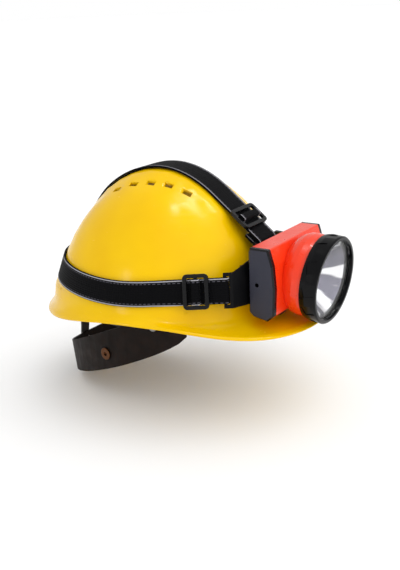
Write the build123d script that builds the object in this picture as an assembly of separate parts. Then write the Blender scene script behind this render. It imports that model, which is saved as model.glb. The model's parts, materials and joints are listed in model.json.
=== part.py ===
from build123d import *
import math
import os

# Miner's safety helmet with a strapped-on headlamp.
# Millimetres. Up is +Z, the peak points along -Y, the wearer's right is -X.
# The origin lies on the midplane, at the level of the rim, where the head enters.

# Shell, dome
dome_half_width = 110.0
dome_front = 113.0
dome_rear = 119.0
dome_height = 149.0
dome_drop = 21.0
dome_shift = 2.0
shell_wall = 2.4
crown_rise = 3.0
crown_half_width = 20.0
crown_slope_width = 14.0
crown_front_end = 92.0
crown_front_flat = 70.0
crown_rear_flat = 60.0
crown_rear_end = 90.0
plan_power = 2.2
rise_power = 1.96
ring_points = 60
dome_ring_degrees = (5, 11, 18, 25, 32, 39, 46, 53, 60, 67)

# Shell, brim
rim_half_width = 112.5
rim_front = 160.0
rim_rear = 133.0
rim_front_drop = 1.0
rim_side_rise = 10.0
rim_rear_drop = 8.5
rim_power = 2.05
waist_front = 14.0
waist_side = 24.0
waist_rear = 27.0
peak_start_share = 0.36
peak_end_share = 0.94
nape_rise_start_share = -0.19
nape_rise_end_share = 0.9
rim_round_share = 0.4
front_brim_shares = (
    (0.02, 0.22), (0.06, 0.42), (0.14, 0.58), (0.28, 0.72),
    (0.46, 0.83), (0.64, 0.9), (0.82, 0.95), (1, 1),
)
side_brim_shares = (
    (0.08, 0.14), (0.16, 0.28), (0.26, 0.42), (0.38, 0.56),
    (0.52, 0.68), (0.68, 0.8), (0.84, 0.91), (1, 1),
)
rear_brim_shares = (
    (0.05, 0.12), (0.3, 0.18), (0.42, 0.26), (0.46, 0.45),
    (0.5, 0.62), (0.66, 0.79), (0.88, 0.93), (1, 1),
)
front_blend_shares = (0.05, 0.75)
rear_blend_shares = (0.35, 0.95)

# Shell, vents
vent_count = 5
vent_length = 9.5
vent_width = 5.5
vent_pitch = 18.5
vent_first = 42.0
vent_front_offset = 29.0
vent_rear_offset = 38.0
vent_lean = 22.0

# Cuts reach this far past what they cut
overrun = 10.0

# Headband
band_half_width = 76.0
band_half_length = 96.0
band_shift = 3.0
band_thickness = 2.0
band_low = 10.0
band_high = 16.0
sweat_steps = 24
sweat_thickness = 3.5
sweat_height = 26.0
sweat_crown = 1.2
sweat_degrees = 62
sweat_gap = 0.5

# Suspension keys and their pockets
key_degrees = (48, 132, 228, 312)
key_names = ("rear_left", "rear_right", "front_right", "front_left")
key_width = 18.0
key_thickness = 3.0
key_low = 4.0
key_high = 20.0
key_gap = 0.3
key_lug = 12.0
key_foot = 2.4
key_foot_top = 16.0
key_tip = 3.0
key_slot_length = 22.0
pocket_wall = 2.0
pocket_depth = 6.0
pocket_height = 12.0
pocket_sink = 1.2

# Crown straps and pad
cradle_width = 20.0
cradle_thickness = 1.4
cradle_rise = 84.0
cradle_gap = 0.5
cradle_cross_gap = 1.4
cradle_steps = 36
crown_pad_radius = 42.0
crown_pad_thickness = 6.0
crown_pad_gap = 0.6
crown_pad_steps = 8

# Nape band, its arms pivot on the headband
nape_clearance = 1.5
nape_thickness = 2.2
nape_rear = 119.5
nape_lean = 3.5
nape_pivot_y = 34.0
nape_pivot_z = 1.0
nape_front_reach = 70.0
nape_front_top = 5.5
nape_front_foot = 5.0
nape_rear_top = 62.0
nape_rear_foot = 92.0
nape_arm_steps = 8
nape_arc_steps = 36
nape_top_power = 1.15
nape_foot_power = 0.77
pivot_boss_radius = 6.5
pivot_gap = 0.3
rivet_radius = 2.5
rivet_head_radius = 4.5
rivet_head = 1.4
rivet_fit = 0.05
eyelet_radius = 4.0
eyelet_bore = 2.2
eyelet_flange = 1.0
eyelet_seat = 0.2
eyelet_y = 26.0
eyelet_drop = 40.0

# Nape upright and its keeper
upright_top_width = 22.0
upright_foot_width = 11.0
upright_thickness = 2.2
upright_gap = 0.5
upright_top = 8.0
upright_stand = 12.7
upright_lap = 5.5
upright_flare = 14.0
upright_notch = 2.0
upright_notch_count = 3
upright_notch_pitch = 6.0
keeper_wall = 2.2
keeper_height = 8.0
keeper_low = -10.0
keeper_gap = 1.3
keeper_play = 0.5
pin_drop = 6.0
pin_radius = 2.0

# Webbing straps
webbing = 1.6
webbing_gap = 0.5
side_width = 23.0
side_level = 34.0
side_front_rise = 6.5
side_rear_rise = 4.5
side_steps = 60
top_width = 30.0
top_steps = 40
strap_overlap_gap = 0.9
strap_climb = 9.0
strap_climb_gap = 2.0
probe_degrees = 1
solve_steps = 40
settle_steps = 6

# Webbing sliders
slider_length = 23.0
slider_margin = 3.6
slider_thickness = 3.0
slider_round = 4.0
slider_lift = 0.5
slider_bar = 3.6
slider_centre_bar = 3.0
slider_from_slot = 25.0
fold_gap = 0.4

# Lamp bracket
plate_thickness = 2.4
plate_half_width = 40.0
plate_low = 27.0
plate_high = 12.0
wing_root_half = 21.0
wing_tip_half = 15.5
wing_degrees = 235.8
wing_standoff = 18.6
slot_gap = 0.3
slot_bar = 2.8
tongue_half_width = 19.5
tongue_rise = 26.5
tongue_standoff = 15.5
pad_half_width = 30.0
pad_low = 17.0
pad_high = 8.0
pad_gap = 0.5
pad_levels = 6
pad_steps = 10

# Lamp case
case_width = 102.0
case_height = 65.0
case_depth = 25.5
lamp_standoff = 14.76
case_level = 43.5
case_wall = 2.0
case_round = 1.6
cap_thickness = 5.0
cap_bevel = 1.4
cap_plug = 2.0
cover_thickness = 2.2
cover_gap = 0.15
case_shares = (
    (0, -0.4), (0.16, -0.46), (0.7, -0.5), (0.96, -0.41), (1, -0.03),
    (0.93, 0.28), (0.76, 0.5), (0.06, 0.5), (0, 0.45),
)
screw_x = 39.5
screw_low = 20.5
screw_high = 23.5
screw_radius = 1.5
screw_head_radius = 2.7
screw_head = 1.2
screw_length = 9.0
screw_slot = 0.8
boss_radius = 3.0
boss_rib = 3.0

# Lamp head
head_cant = 6.0
head_profile = (
    (26.0, -9.0), (32.0, -4.5), (35.6, 0.0), (37.3, 4.0),
    (38.0, 9.0), (37.6, 14.0), (36.6, 17.0),
)
head_bore_profile = ((22.0, -9.0), (29.0, -4.5), (33.2, 0.5), (34.0, 4.0))
head_bore = 34.0
head_length = 17.0
spigot_radius = 35.9
spigot_length = 7.5

# Bezel, lens and reflector
bezel_radius = 40.0
bezel_rear_radius = 38.7
bezel_depth = 16.0
bezel_start_gap = 0.3
bezel_fit = 0.08
bezel_lip = 2.6
bezel_round = 1.2
lens_opening = 35.8
grip_count = 12
grip_depth = 1.1
grip_width = 11.0
grip_skew = 18.0
lens_radius = 37.2
lens_thickness = 2.2
lens_gap = 0.25
gasket_width = 1.4
gasket_thickness = 1.8
reflector_front_radius = 33.2
reflector_back_radius = 7.0
reflector_length = 26.0
reflector_wall = 1.2
flange_radius = 35.8
flange_thickness = 1.0
reflector_steps = 8
sink_radius = 21.6
sink_thickness = 2.4
sink_boss_radius = 11.0
sink_boss = 2.2
sink_start = 7.0
led_board_radius = 9.0
led_board = 1.4
led_dome_radius = 2.6

# Lamp inside
cell_radius = 7.2
cell_length = 50.0
cell_rise = 9.0
cell_shift = 5.0
cell_tip_radius = 2.6
cell_tip = 1.2
inner_gap = 0.3
board_length = 48.0
board_width = 12.0
board_thickness = 1.6
board_level = 21.0
chip_length = 8.0
chip_width = 5.0
chip_height = 1.8
chip_count = 3
socket_depth = 8.5
socket_level = 0.0
socket_bore = 1.9
socket_inner_bore = 2.3
socket_radius = 4.0
socket_length = 13.0

# Lamp switch
switch_x = 15.0
switch_depth = 11.5
switch_length = 17.0
switch_width = 9.0
switch_height = 5.6
switch_travel = 0.8
switch_gap = 0.1
switch_fit = 0.08
switch_skirt = 1.0
switch_flange = 1.2
switch_rib = 0.5
switch_rib_count = 5
switch_body_length = 12.0
switch_body_width = 7.0
switch_body_height = 5.0

# Lamp hinge at the foot of the case
hinge_radius = 3.6
hinge_pin_radius = 1.5
hinge_fit = 0.05
hinge_knuckle = 11.0
hinge_gap = 0.3
hinge_back = 1.6
hinge_drop = 30.5
pin_head_radius = 2.4
pin_head = 1.2

parts = {}


on_base = (Align.CENTER, Align.CENTER, Align.MIN)
under_top = (Align.CENTER, Align.CENTER, Align.MAX)


def ease(low, high, value):
    """Smooth step from 0 at low to 1 at high."""
    share = min(max((value - low) / (high - low), 0), 1)
    return share * share * (3 - 2 * share)


def case_back():
    """Distance of the lamp case's back plane in front of the origin."""
    return lamp_standoff - dome_point(-math.pi / 2, case_level).Y


def unit_plan(angle, power):
    """Point of the rounded unit outline in this direction."""
    across, along = math.cos(angle), math.sin(angle)
    size = (abs(across) ** power + abs(along) ** power) ** (1 / power)
    return across / size, along / size


def dome_point(angle, level):
    """Point of the dome's outside in this direction at this level."""
    height = min((level + dome_drop) / dome_height, 1)
    reach = math.sin(math.acos(height ** (rise_power / 2))) ** (2 / rise_power)
    across, along = unit_plan(angle, plan_power)
    length = dome_rear if along > 0 else dome_front
    return Vector(dome_half_width * across * reach, length * along * reach - dome_shift, level)


def dome_normal(angle, level):
    """Outward direction of the dome at this point."""
    step = shell_wall
    turn = step / dome_half_width
    along = dome_point(angle + turn, level) - dome_point(angle - turn, level)
    up = dome_point(angle, level + step) - dome_point(angle, level - step)
    return along.cross(up).normalized()


def dome_level(x, y):
    """Level of the dome's outside over this plan point."""
    length = dome_rear if y > -dome_shift else dome_front
    share = abs(x / dome_half_width) ** plan_power + abs((y + dome_shift) / length) ** plan_power
    turn = math.asin(share ** (rise_power / 2 / plan_power))
    return dome_height * math.cos(turn) ** (2 / rise_power) - dome_drop


def crown_lift(point):
    """Height that the crown ridge adds at this point."""
    across = 1 - ease(crown_half_width, crown_half_width + crown_slope_width, abs(point.X))
    front = ease(-crown_front_end, -crown_front_flat, point.Y)
    rear = 1 - ease(crown_rear_flat, crown_rear_end, point.Y)
    return crown_rise * across * front * rear


def rim_point(angle):
    """Point of the rim's edge in this direction."""
    across, along = unit_plan(angle, rim_power)
    y = along * (rim_rear if along > 0 else rim_front)
    front = ease(rim_front * peak_start_share, rim_front * peak_end_share, -y)
    rear = ease(rim_rear * nape_rise_start_share, rim_rear * nape_rise_end_share, y)
    z = rim_side_rise - (rim_side_rise + rim_front_drop) * front - (rim_side_rise + rim_rear_drop) * rear
    return Vector(rim_half_width * across, y, z)


def brim_weights(angle):
    """Shares of the front, side and rear profiles in this direction."""
    front = ease(*front_blend_shares, -math.sin(angle))
    rear = ease(*rear_blend_shares, math.sin(angle))
    return front, 1 - front - rear, rear


def shell_rings():
    """Rings of the shell's outside from the crown to the rim."""
    angles = [math.pi / 2 + 2 * math.pi * i / ring_points for i in range(ring_points)]
    rings = []
    for degrees in dome_ring_degrees:
        level = dome_height * math.cos(math.radians(degrees)) ** (2 / rise_power) - dome_drop
        rings.append([dome_point(angle, level) for angle in angles])
    waist_levels = []
    for angle in angles:
        front, side, rear = brim_weights(angle)
        waist_levels.append(waist_front * front + waist_side * side + waist_rear * rear)
    last = rings[-1][0].Z
    rings.append([dome_point(angle, (last + level) / 2) for angle, level in zip(angles, waist_levels)])
    waist = [dome_point(angle, level) for angle, level in zip(angles, waist_levels)]
    rings = [[point + Vector(0, 0, crown_lift(point)) for point in ring] for ring in rings]
    rings.append(waist)
    for at_front, at_side, at_rear in zip(front_brim_shares, side_brim_shares, rear_brim_shares):
        ring = []
        for angle, start in zip(angles, waist):
            front, side, rear = brim_weights(angle)
            out = at_front[0] * front + at_side[0] * side + at_rear[0] * rear
            down = at_front[1] * front + at_side[1] * side + at_rear[1] * rear
            end = rim_point(angle)
            reach = Vector((end.X - start.X) * out, (end.Y - start.Y) * out, (end.Z - start.Z) * down)
            ring.append(start + reach)
        rings.append(ring)
    return rings


def inner_rings(rings, top):
    """The same rings, one wall thickness inside."""
    result = []
    for i, ring in enumerate(rings):
        row = []
        for j, point in enumerate(ring):
            along = ring[(j + 1) % ring_points] - ring[j - 1]
            above = rings[i - 1][j] if i else top
            below = rings[i + 1][j] if i + 1 < len(rings) else point * 2 - above
            row.append(point + along.cross(below - above).normalized() * shell_wall)
        result.append(row)
    return result


def ring_wire(points):
    return Wire([Edge.make_spline(points, periodic=True)])


def closed_box(low, high):
    """Box between two corners."""
    size = high - low
    return Pos(*((low + high) / 2)) * Box(size.X, size.Y, size.Z)


def mirrored(solid):
    return solid.mirror(Plane.YZ)


def key_place(degrees):
    """Frame at a key: x points out of the helmet, z points up, on the shell's inner face."""
    angle = math.radians(degrees)
    out = Vector(math.cos(angle), math.sin(angle), 0)
    wall = dome_point(angle, key_high)
    reach = math.hypot(wall.X, wall.Y) - shell_wall
    return Plane(origin=out * reach, x_dir=out, z_dir=(0, 0, 1))


def make_shell():
    rings = shell_rings()
    top = Vector(0, -dome_shift, dome_height - dome_drop + crown_rise)
    inside = inner_rings(rings, top)
    edge = []
    for outer, inner, above in zip(rings[-1], inside[-1], rings[-2]):
        edge.append((outer + inner) / 2 + (outer - above).normalized() * shell_wall * rim_round_share)
    sections = [Vertex(*top)] + [ring_wire(ring) for ring in rings] + [ring_wire(edge)]
    sections += [ring_wire(ring) for ring in reversed(inside)] + [Vertex(top.X, top.Y, top.Z - shell_wall)]
    shell = Solid.make_loft(sections, True)
    pockets = []
    slots = []
    for degrees in key_degrees:
        place = key_place(degrees)
        width = key_slot_length + 2 * pocket_wall
        low = Vector(pocket_sink - pocket_depth, -width / 2, key_high - pocket_height)
        pockets.append(place * closed_box(low, Vector(pocket_sink, width / 2, key_high)))
        half = key_thickness / 2 + key_gap
        middle = -pocket_depth / 2 + pocket_sink / 2
        low = Vector(middle - half, -key_slot_length / 2, -overrun)
        high = Vector(middle + half, key_slot_length / 2, key_high + overrun)
        slots.append(place * closed_box(low, high))
    vents = []
    cutter = Rot(0, vent_lean, 0) * Box(vent_width, vent_length, 4 * overrun)
    for i in range(vent_count):
        share = i / (vent_count - 1)
        offset = vent_front_offset + (vent_rear_offset - vent_front_offset) * share
        y = vent_pitch * i - vent_first
        vents.append(Pos(offset, y, dome_level(offset, y)) * cutter)
        vents.append(mirrored(vents[-1]))
    return (shell + pockets) - slots - vents


def band_point(angle, offset):
    """Plan point of the headband's inner face, moved out by an offset."""
    x = (band_half_width + offset) * math.cos(angle)
    y = (band_half_length + offset) * math.sin(angle) + band_shift
    return x, y


def strip(sections):
    """Solid through a row of rectangular sections, each a list of four corners."""
    return Solid.make_loft([Wire.make_polygon(corners) for corners in sections], True)


def band_ring(offset, low, high):
    """Upright band of the headband's outline."""
    outer = Ellipse(band_half_width + offset + band_thickness, band_half_length + offset + band_thickness)
    inner = Ellipse(band_half_width + offset, band_half_length + offset)
    return Pos(0, band_shift, low) * extrude(outer - inner, high - low)


def rear_face():
    """Y of the headband's outer face at the rear."""
    return band_half_length + band_thickness + band_shift


def strut_line():
    """Points of the upright's inner face: at its head and at the nape band's top edge."""
    head = Vector(0, rear_face() + upright_stand, upright_top)
    edge = Vector(0, nape_rear + nape_thickness + upright_gap, -nape_rear_top)
    return head, edge


def strut_face(level):
    """Y of the upright's inner face at this level."""
    head, edge = strut_line()
    return head.Y + (edge.Y - head.Y) * (head.Z - level) / (head.Z - edge.Z)


def arm_face():
    """X of the inner face of the nape band's straight arms."""
    return band_half_width + band_thickness + nape_clearance


def pivot_cylinder(radius, start, length):
    """Cylinder on the nape pivot's axis, on the wearer's left."""
    body = Cylinder(radius, length, align=on_base)
    return Pos(start, -nape_pivot_y, -nape_pivot_z) * Rot(0, 90, 0) * body


def make_headband():
    band = band_ring(0, -band_low, band_high)
    half = upright_top_width / 2 + keeper_play
    top = keeper_low + keeper_height
    near = strut_face(top) - keeper_gap
    far = strut_face(keeper_low) + upright_thickness + keeper_gap
    keeper = closed_box(Vector(-half - keeper_wall, rear_face() - band_thickness, keeper_low),
                        Vector(half + keeper_wall, far + keeper_wall, top))
    tunnel = closed_box(Vector(-half, near, keeper_low - overrun), Vector(half, far, top + overrun))
    window_low = Vector(-half, rear_face(), keeper_low - overrun)
    window = closed_box(window_low, Vector(half, near - keeper_wall, top + overrun))
    inside = Ellipse(band_half_width, band_half_length)
    inside = Pos(0, band_shift, -band_low - overrun) * extrude(inside, band_low + band_high + 2 * overrun)
    bosses = pivot_cylinder(pivot_boss_radius, 0, arm_face() - pivot_gap)
    bosses = bosses + mirrored(bosses)
    band = band + (keeper - tunnel - window - inside) + (bosses - inside)
    bores = pivot_cylinder(rivet_radius + rivet_fit, 0, arm_face() + overrun)
    return band - bores - mirrored(bores)


def make_sweatband():
    sections = []
    middle = (band_high - band_low) / 2
    for i in range(sweat_steps + 1):
        share = 2 * i / sweat_steps - 1
        angle = math.radians(270 + sweat_degrees * share)
        swell = sweat_crown * (1 - share ** 4)
        x, y = band_point(angle, -sweat_gap)
        back = Vector(x, y, 0)
        x, y = band_point(angle, -sweat_gap - sweat_thickness / 2 - swell)
        front = Vector(x, y, 0)
        half = Vector(0, 0, sweat_height / 2)
        level = Vector(0, 0, middle)
        low, high = level - half, level + half
        sections.append([back + low, front + low, front + high, back + high])
    return strip(sections)


def foot_reach(degrees):
    """Distance from the origin at which a key's foot clears the headband."""
    angle = math.radians(degrees)
    out = Vector(math.cos(angle), math.sin(angle), 0)
    across = Vector(-math.sin(angle), math.cos(angle), 0) * (key_lug / 2)
    reach = 0
    for side in (-1, 0, 1):
        low, high = 0, 2 * band_half_length
        for _ in range(solve_steps):
            middle = (low + high) / 2
            point = out * middle + across * side
            x = point.X / (band_half_width + band_thickness)
            y = (point.Y - band_shift) / (band_half_length + band_thickness)
            low, high = (middle, high) if x * x + y * y < 1 else (low, middle)
        reach = max(reach, high)
    return reach + key_gap


def slot_middle():
    """Middle of a pocket's slot, measured from the shell's inner face."""
    return (pocket_sink - pocket_depth) / 2


def make_key(degrees):
    """Clip that stands in a shell pocket, with a foot beside the headband."""
    place = key_place(degrees)
    start = foot_reach(degrees) - place.origin.length
    middle = slot_middle()
    half = key_thickness / 2
    blade_top = Vector(middle + half, key_width / 2, key_high + key_tip)
    blade = closed_box(Vector(middle - half, -key_width / 2, 0), blade_top)
    lug = closed_box(Vector(start, -key_lug / 2, 0), Vector(middle, key_lug / 2, key_low))
    foot = closed_box(Vector(start, -key_lug / 2, 0), Vector(start + key_foot, key_lug / 2, key_foot_top))
    return place * (blade + lug + foot)


def cradle_reach(degrees):
    """Half span of a crown strap towards this key, standing on the key's foot."""
    start = math.asin((key_foot_top + cradle_gap) / cradle_rise)
    return (foot_reach(degrees) + key_foot / 2) / math.cos(start)


def make_crown_strap(first, second, lift):
    """Strap that arches from one key over the head to the key across from it."""
    start, finish = math.radians(key_degrees[first]), math.radians(key_degrees[second])
    foot = math.asin((key_foot_top + cradle_gap) / cradle_rise)
    sections = []
    for i in range(cradle_steps + 1):
        sweep = foot + (math.pi - 2 * foot) * i / cradle_steps
        side = start if sweep < math.pi / 2 else finish
        reach = cradle_reach(key_degrees[first if sweep < math.pi / 2 else second])
        out = Vector(math.cos(side), math.sin(side), 0)
        rise = cradle_rise + lift * ease(0, 1, math.sin(sweep) ** 2)
        place = abs(math.cos(sweep))
        centre = out * (reach * place) + Vector(0, 0, rise * math.sin(sweep))
        normal = (out * (place / reach) + Vector(0, 0, math.sin(sweep) / rise)).normalized()
        half = Vector(-math.sin(start), math.cos(start), 0) * (cradle_width / 2)
        thick = normal * (cradle_thickness / 2)
        low, high = centre - thick, centre + thick
        sections.append([low - half, low + half, high + half, high - half])
    return strip(sections)


def make_crown_pad():
    reach = min(cradle_reach(degrees) for degrees in key_degrees)
    top = cradle_rise - cradle_thickness / 2 - crown_pad_gap
    points = []
    for i in range(crown_pad_steps + 1):
        radius = crown_pad_radius * i / crown_pad_steps
        points.append((radius, top * math.sqrt(1 - (radius / reach) ** 2)))
    foot = [(radius, level - crown_pad_thickness) for radius, level in reversed(points)]
    return turned(points + foot)


def nape_levels(y):
    """Top and foot levels of the nape band at this distance towards the rear."""
    behind = min(max((y + nape_pivot_y) / (nape_rear + nape_pivot_y), 0), 1)
    share = min(max((y + nape_front_reach) / (nape_rear + nape_front_reach), 0), 1)
    top = nape_front_top - (nape_rear_top + nape_front_top) * behind ** nape_top_power
    return top, -nape_front_foot - (nape_rear_foot - nape_front_foot) * share ** nape_foot_power


def nape_plan(angle, out):
    """Plan point of the nape band's rear arc, moved out."""
    return Vector((arm_face() + out) * math.cos(angle), (nape_rear + out) * math.sin(angle), 0)


def nape_section(inner, outer, lean):
    """Cross-section of the nape band between two plan points."""
    top, foot = nape_levels(inner.Y)
    low = Vector(0, 0, foot) - lean
    high = Vector(0, 0, top)
    return [inner + low, outer + low, outer + high, inner + high]


def make_nape_band():
    sections = []
    for i in range(nape_arm_steps):
        y = nape_front_reach * (i / nape_arm_steps - 1)
        inner, outer = Vector(arm_face(), y, 0), Vector(arm_face() + nape_thickness, y, 0)
        sections.append(nape_section(inner, outer, Vector(0, 0, 0)))
    for i in range(nape_arc_steps + 1):
        angle = math.pi * i / nape_arc_steps
        lean = Vector(math.cos(angle), math.sin(angle), 0) * (nape_lean * math.sin(angle))
        sections.append(nape_section(nape_plan(angle, 0), nape_plan(angle, nape_thickness), lean))
    for i in reversed(range(nape_arm_steps)):
        y = nape_front_reach * (i / nape_arm_steps - 1)
        inner, outer = Vector(-arm_face(), y, 0), Vector(-arm_face() - nape_thickness, y, 0)
        sections.append(nape_section(inner, outer, Vector(0, 0, 0)))
    band = strip(sections)
    bores = pivot_cylinder(rivet_radius + rivet_fit, arm_face() - overrun, 2 * overrun)
    eye = eyelet_frame() * Cylinder(eyelet_radius, 2 * overrun)
    pin = upright_frame() * Cylinder(pin_radius + rivet_fit, 2 * overrun)
    return band - bores - mirrored(bores) - eye - mirrored(eye) - pin


def make_arm_rivets():
    inner = band_half_width * math.sqrt(1 - ((nape_pivot_y + band_shift) / band_half_length) ** 2)
    outer = arm_face() + nape_thickness + rivet_fit
    head = pivot_cylinder(rivet_head_radius, outer, rivet_head)
    head = chamfer(head.edges().sort_by(Axis.X)[-1], rivet_head / 2)
    rivet = pivot_cylinder(rivet_radius, inner, outer - inner) + head
    return Compound([rivet, mirrored(rivet)])


def eyelet_frame():
    """Frame of the left eyelet on the nape band's outer face, z outward."""
    angle = math.asin(eyelet_y / (nape_rear + nape_thickness))
    point = nape_plan(angle, nape_thickness)
    step = math.radians(probe_degrees)
    along = nape_plan(angle + step, nape_thickness) - nape_plan(angle - step, nape_thickness)
    normal = along.cross(Vector(0, 0, 1)).normalized()
    return Plane(origin=point - Vector(0, 0, eyelet_drop), x_dir=(0, 0, 1), z_dir=normal)


def make_nape_eyelets():
    barrel = Cylinder(eyelet_radius - rivet_fit, nape_thickness + eyelet_seat,
                      align=under_top)
    flange = Cylinder(eyelet_radius + 2 * eyelet_flange, eyelet_flange, align=on_base)
    flange = fillet(flange.edges().sort_by(Axis.Z)[-1], eyelet_flange / 2)
    eyelet = Pos(0, 0, eyelet_seat) * (barrel + flange) - Cylinder(eyelet_bore, 2 * overrun)
    eyelet = eyelet_frame() * eyelet
    return Compound([eyelet, mirrored(eyelet)])


def upright_frame():
    """Frame at the upright's pin: x across, z out of the back, y up along the strut."""
    head, edge = strut_line()
    up = (head - edge).normalized()
    return Plane(origin=edge - up * pin_drop, x_dir=(-1, 0, 0), z_dir=Vector(-1, 0, 0).cross(up))


def make_upright():
    frame = upright_frame()
    length = (strut_line()[0] - frame.origin).length
    top, foot = upright_top_width / 2, upright_foot_width / 2
    shoulder = length - upright_flare
    outline = Polyline((-foot, -upright_lap), (foot, -upright_lap), (foot, upright_flare), (top, shoulder),
                       (top, length), (-top, length), (-top, shoulder), (-foot, upright_flare), close=True)
    strut = extrude(make_face(outline), upright_thickness)
    strut = fillet(strut.edges().filter_by(Axis.Z), upright_foot_width / 8)
    for i in range(upright_notch_count):
        y = shoulder + (i - upright_notch_count / 2) * upright_notch_pitch
        strut -= Pos(0, y, 0) * Box(top, upright_notch, 4 * upright_thickness)
    strut -= Cylinder(pin_radius + rivet_fit, 4 * upright_thickness)
    return frame * strut


def make_upright_pin():
    lap = 2 * nape_thickness + upright_gap + upright_thickness + rivet_fit
    shank = Cylinder(pin_radius, lap, align=under_top)
    head = Cylinder(pin_radius * 2, rivet_head, align=on_base)
    head = fillet(head.edges().sort_by(Axis.Z)[-1], rivet_head / 2)
    return upright_frame() * (Pos(0, 0, upright_thickness + rivet_fit) * (shank + head))


def side_centre(angle):
    """Centre line of the side strap on the dome, with its outward normal."""
    front = ease(0, 1, -math.sin(angle))
    rear = ease(0, 1, math.sin(angle))
    level = side_level + side_front_rise * front + side_rear_rise * rear
    normal = dome_normal(angle, level)
    return dome_point(angle, level) + normal * (webbing_gap + webbing / 2), normal


def bar_centre():
    """Middle of the strap bar at the tip of the wearer's right wing."""
    angle = math.radians(wing_degrees)
    level = side_level + side_front_rise
    out = dome_normal(angle, level)
    return dome_point(angle, level) + Vector(out.X, out.Y, 0).normalized() * wing_standoff


def tangent_angle(slot):
    """Direction, on the wearer's right, where the strap leaves the dome for this point."""
    low, high = math.pi, math.pi * 5 / 4
    for _ in range(solve_steps):
        middle = (low + high) / 2
        centre, _normal = side_centre(middle)
        ahead, _normal = side_centre(middle + math.radians(probe_degrees))
        tangent = ahead - centre
        reach = slot - centre
        turn = tangent.X * reach.Y - tangent.Y * reach.X
        low, high = (middle, high) if turn > 0 else (low, middle)
    return (low + high) / 2


def side_span():
    """Frame of the strap's free run, its length and where it leaves the dome."""
    slot = bar_centre()
    for _ in range(settle_steps):
        angle = tangent_angle(slot)
        leave, normal = side_centre(angle)
        along = (leave - slot).normalized()
        out = (normal - along * normal.dot(along)).normalized()
        slot = bar_centre() + out * loop_turn()
    run = leave - slot
    along = run.normalized()
    out = (normal - along * normal.dot(along)).normalized()
    return Plane(origin=slot, x_dir=along, z_dir=out), run.length, angle


def bar_reach():
    """Inside radius of a webbing loop round a strap bar."""
    return math.hypot(slot_bar, plate_thickness) / 2 + slot_gap


def loop_turn():
    """Radius of the webbing's middle where it turns round a strap bar."""
    return bar_reach() + webbing / 2


def strap_span(frame, length, width):
    """The free run, the turn round the bar and the short leg back."""
    turn = loop_turn()
    inner, outer = turn - webbing / 2, turn + webbing / 2
    leg = slider_from_slot - slider_length / 2 - 2 * fold_gap
    run = closed_box(Vector(0, -width / 2, -webbing / 2), Vector(length, width / 2, webbing / 2))
    back = closed_box(Vector(0, -width / 2, -webbing / 2), Vector(leg, width / 2, webbing / 2))
    ring = Rot(90, 0, 0) * (Cylinder(outer, width) - Cylinder(inner, width + overrun))
    ring -= closed_box(Vector(0, -width, -outer - overrun), Vector(outer + overrun, width, outer + overrun))
    return frame * (run + Pos(0, 0, -turn) * ring + Pos(0, 0, -2 * turn) * back)


def make_side_strap():
    frame, length, angle = side_span()
    start, finish = angle, 3 * math.pi - angle
    sections = []
    for i in range(side_steps + 1):
        turn = start + (finish - 2 * math.pi - start) * i / side_steps
        centre, normal = side_centre(turn)
        ahead, _normal = side_centre(turn - math.radians(probe_degrees))
        behind, _normal = side_centre(turn + math.radians(probe_degrees))
        along = (ahead - behind).normalized()
        if i == 0:
            along, normal = frame.x_dir, frame.z_dir
        if i == side_steps:
            along = Vector(frame.x_dir.X, -frame.x_dir.Y, -frame.x_dir.Z)
            normal = Vector(-frame.z_dir.X, frame.z_dir.Y, frame.z_dir.Z)
        across = normal.cross(along).normalized() * (side_width / 2)
        out = along.cross(across).normalized() * (webbing / 2)
        low, high = centre - out, centre + out
        sections.append([low - across, low + across, high + across, high - across])
    span = strap_span(frame, length, side_width)
    return strip(sections) + span + mirrored(span)


def crown_spot(turn):
    """Point of the shell's outside on the midplane, turned from the crown towards the rear."""
    length = dome_rear if turn > 0 else dome_front
    y = math.copysign(length * abs(math.sin(turn)) ** (2 / rise_power), turn) - dome_shift
    z = dome_height * math.cos(turn) ** (2 / rise_power) - dome_drop
    return Vector(0, y, z + crown_lift(Vector(0, y, 0)))


def top_centre(turn):
    """Middle of the top strap on the crown, with its outward normal."""
    step = math.radians(probe_degrees)
    normal = Vector(1, 0, 0).cross(crown_spot(turn + step) - crown_spot(turn - step)).normalized()
    spot = crown_spot(turn)
    shoulder = side_level + side_rear_rise + side_width / 2 + strap_climb_gap
    climb = ease(-shoulder - strap_climb, -shoulder, -spot.Z) if turn > 0 else 0
    return spot + normal * (webbing_gap + webbing / 2 + (webbing + strap_overlap_gap) * climb), normal


def top_bar():
    """Middle of the strap bar at the tip of the bracket's tongue."""
    level = case_level + tongue_rise
    return Vector(0, dome_front_y(0, level) - tongue_standoff, level)


def plate_face():
    """Y of the bracket plate's front face."""
    return hinge_gap - case_back()


def top_span():
    """Frame of the top strap's free run, its length and where it leaves the crown."""
    slot = top_bar()
    for _ in range(settle_steps):
        low, high = -math.radians(dome_ring_degrees[-1]), -math.radians(dome_ring_degrees[0])
        for _ in range(solve_steps):
            turn = (low + high) / 2
            centre, normal = top_centre(turn)
            low, high = (turn, high) if (slot - centre).dot(normal) > 0 else (low, turn)
        along = (centre - slot).normalized()
        slot = top_bar() + Vector(1, 0, 0).cross(along) * loop_turn()
    run = centre - slot
    along = run.normalized()
    return Plane(origin=slot, x_dir=along, z_dir=Vector(1, 0, 0).cross(along)), run.length, turn


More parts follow.
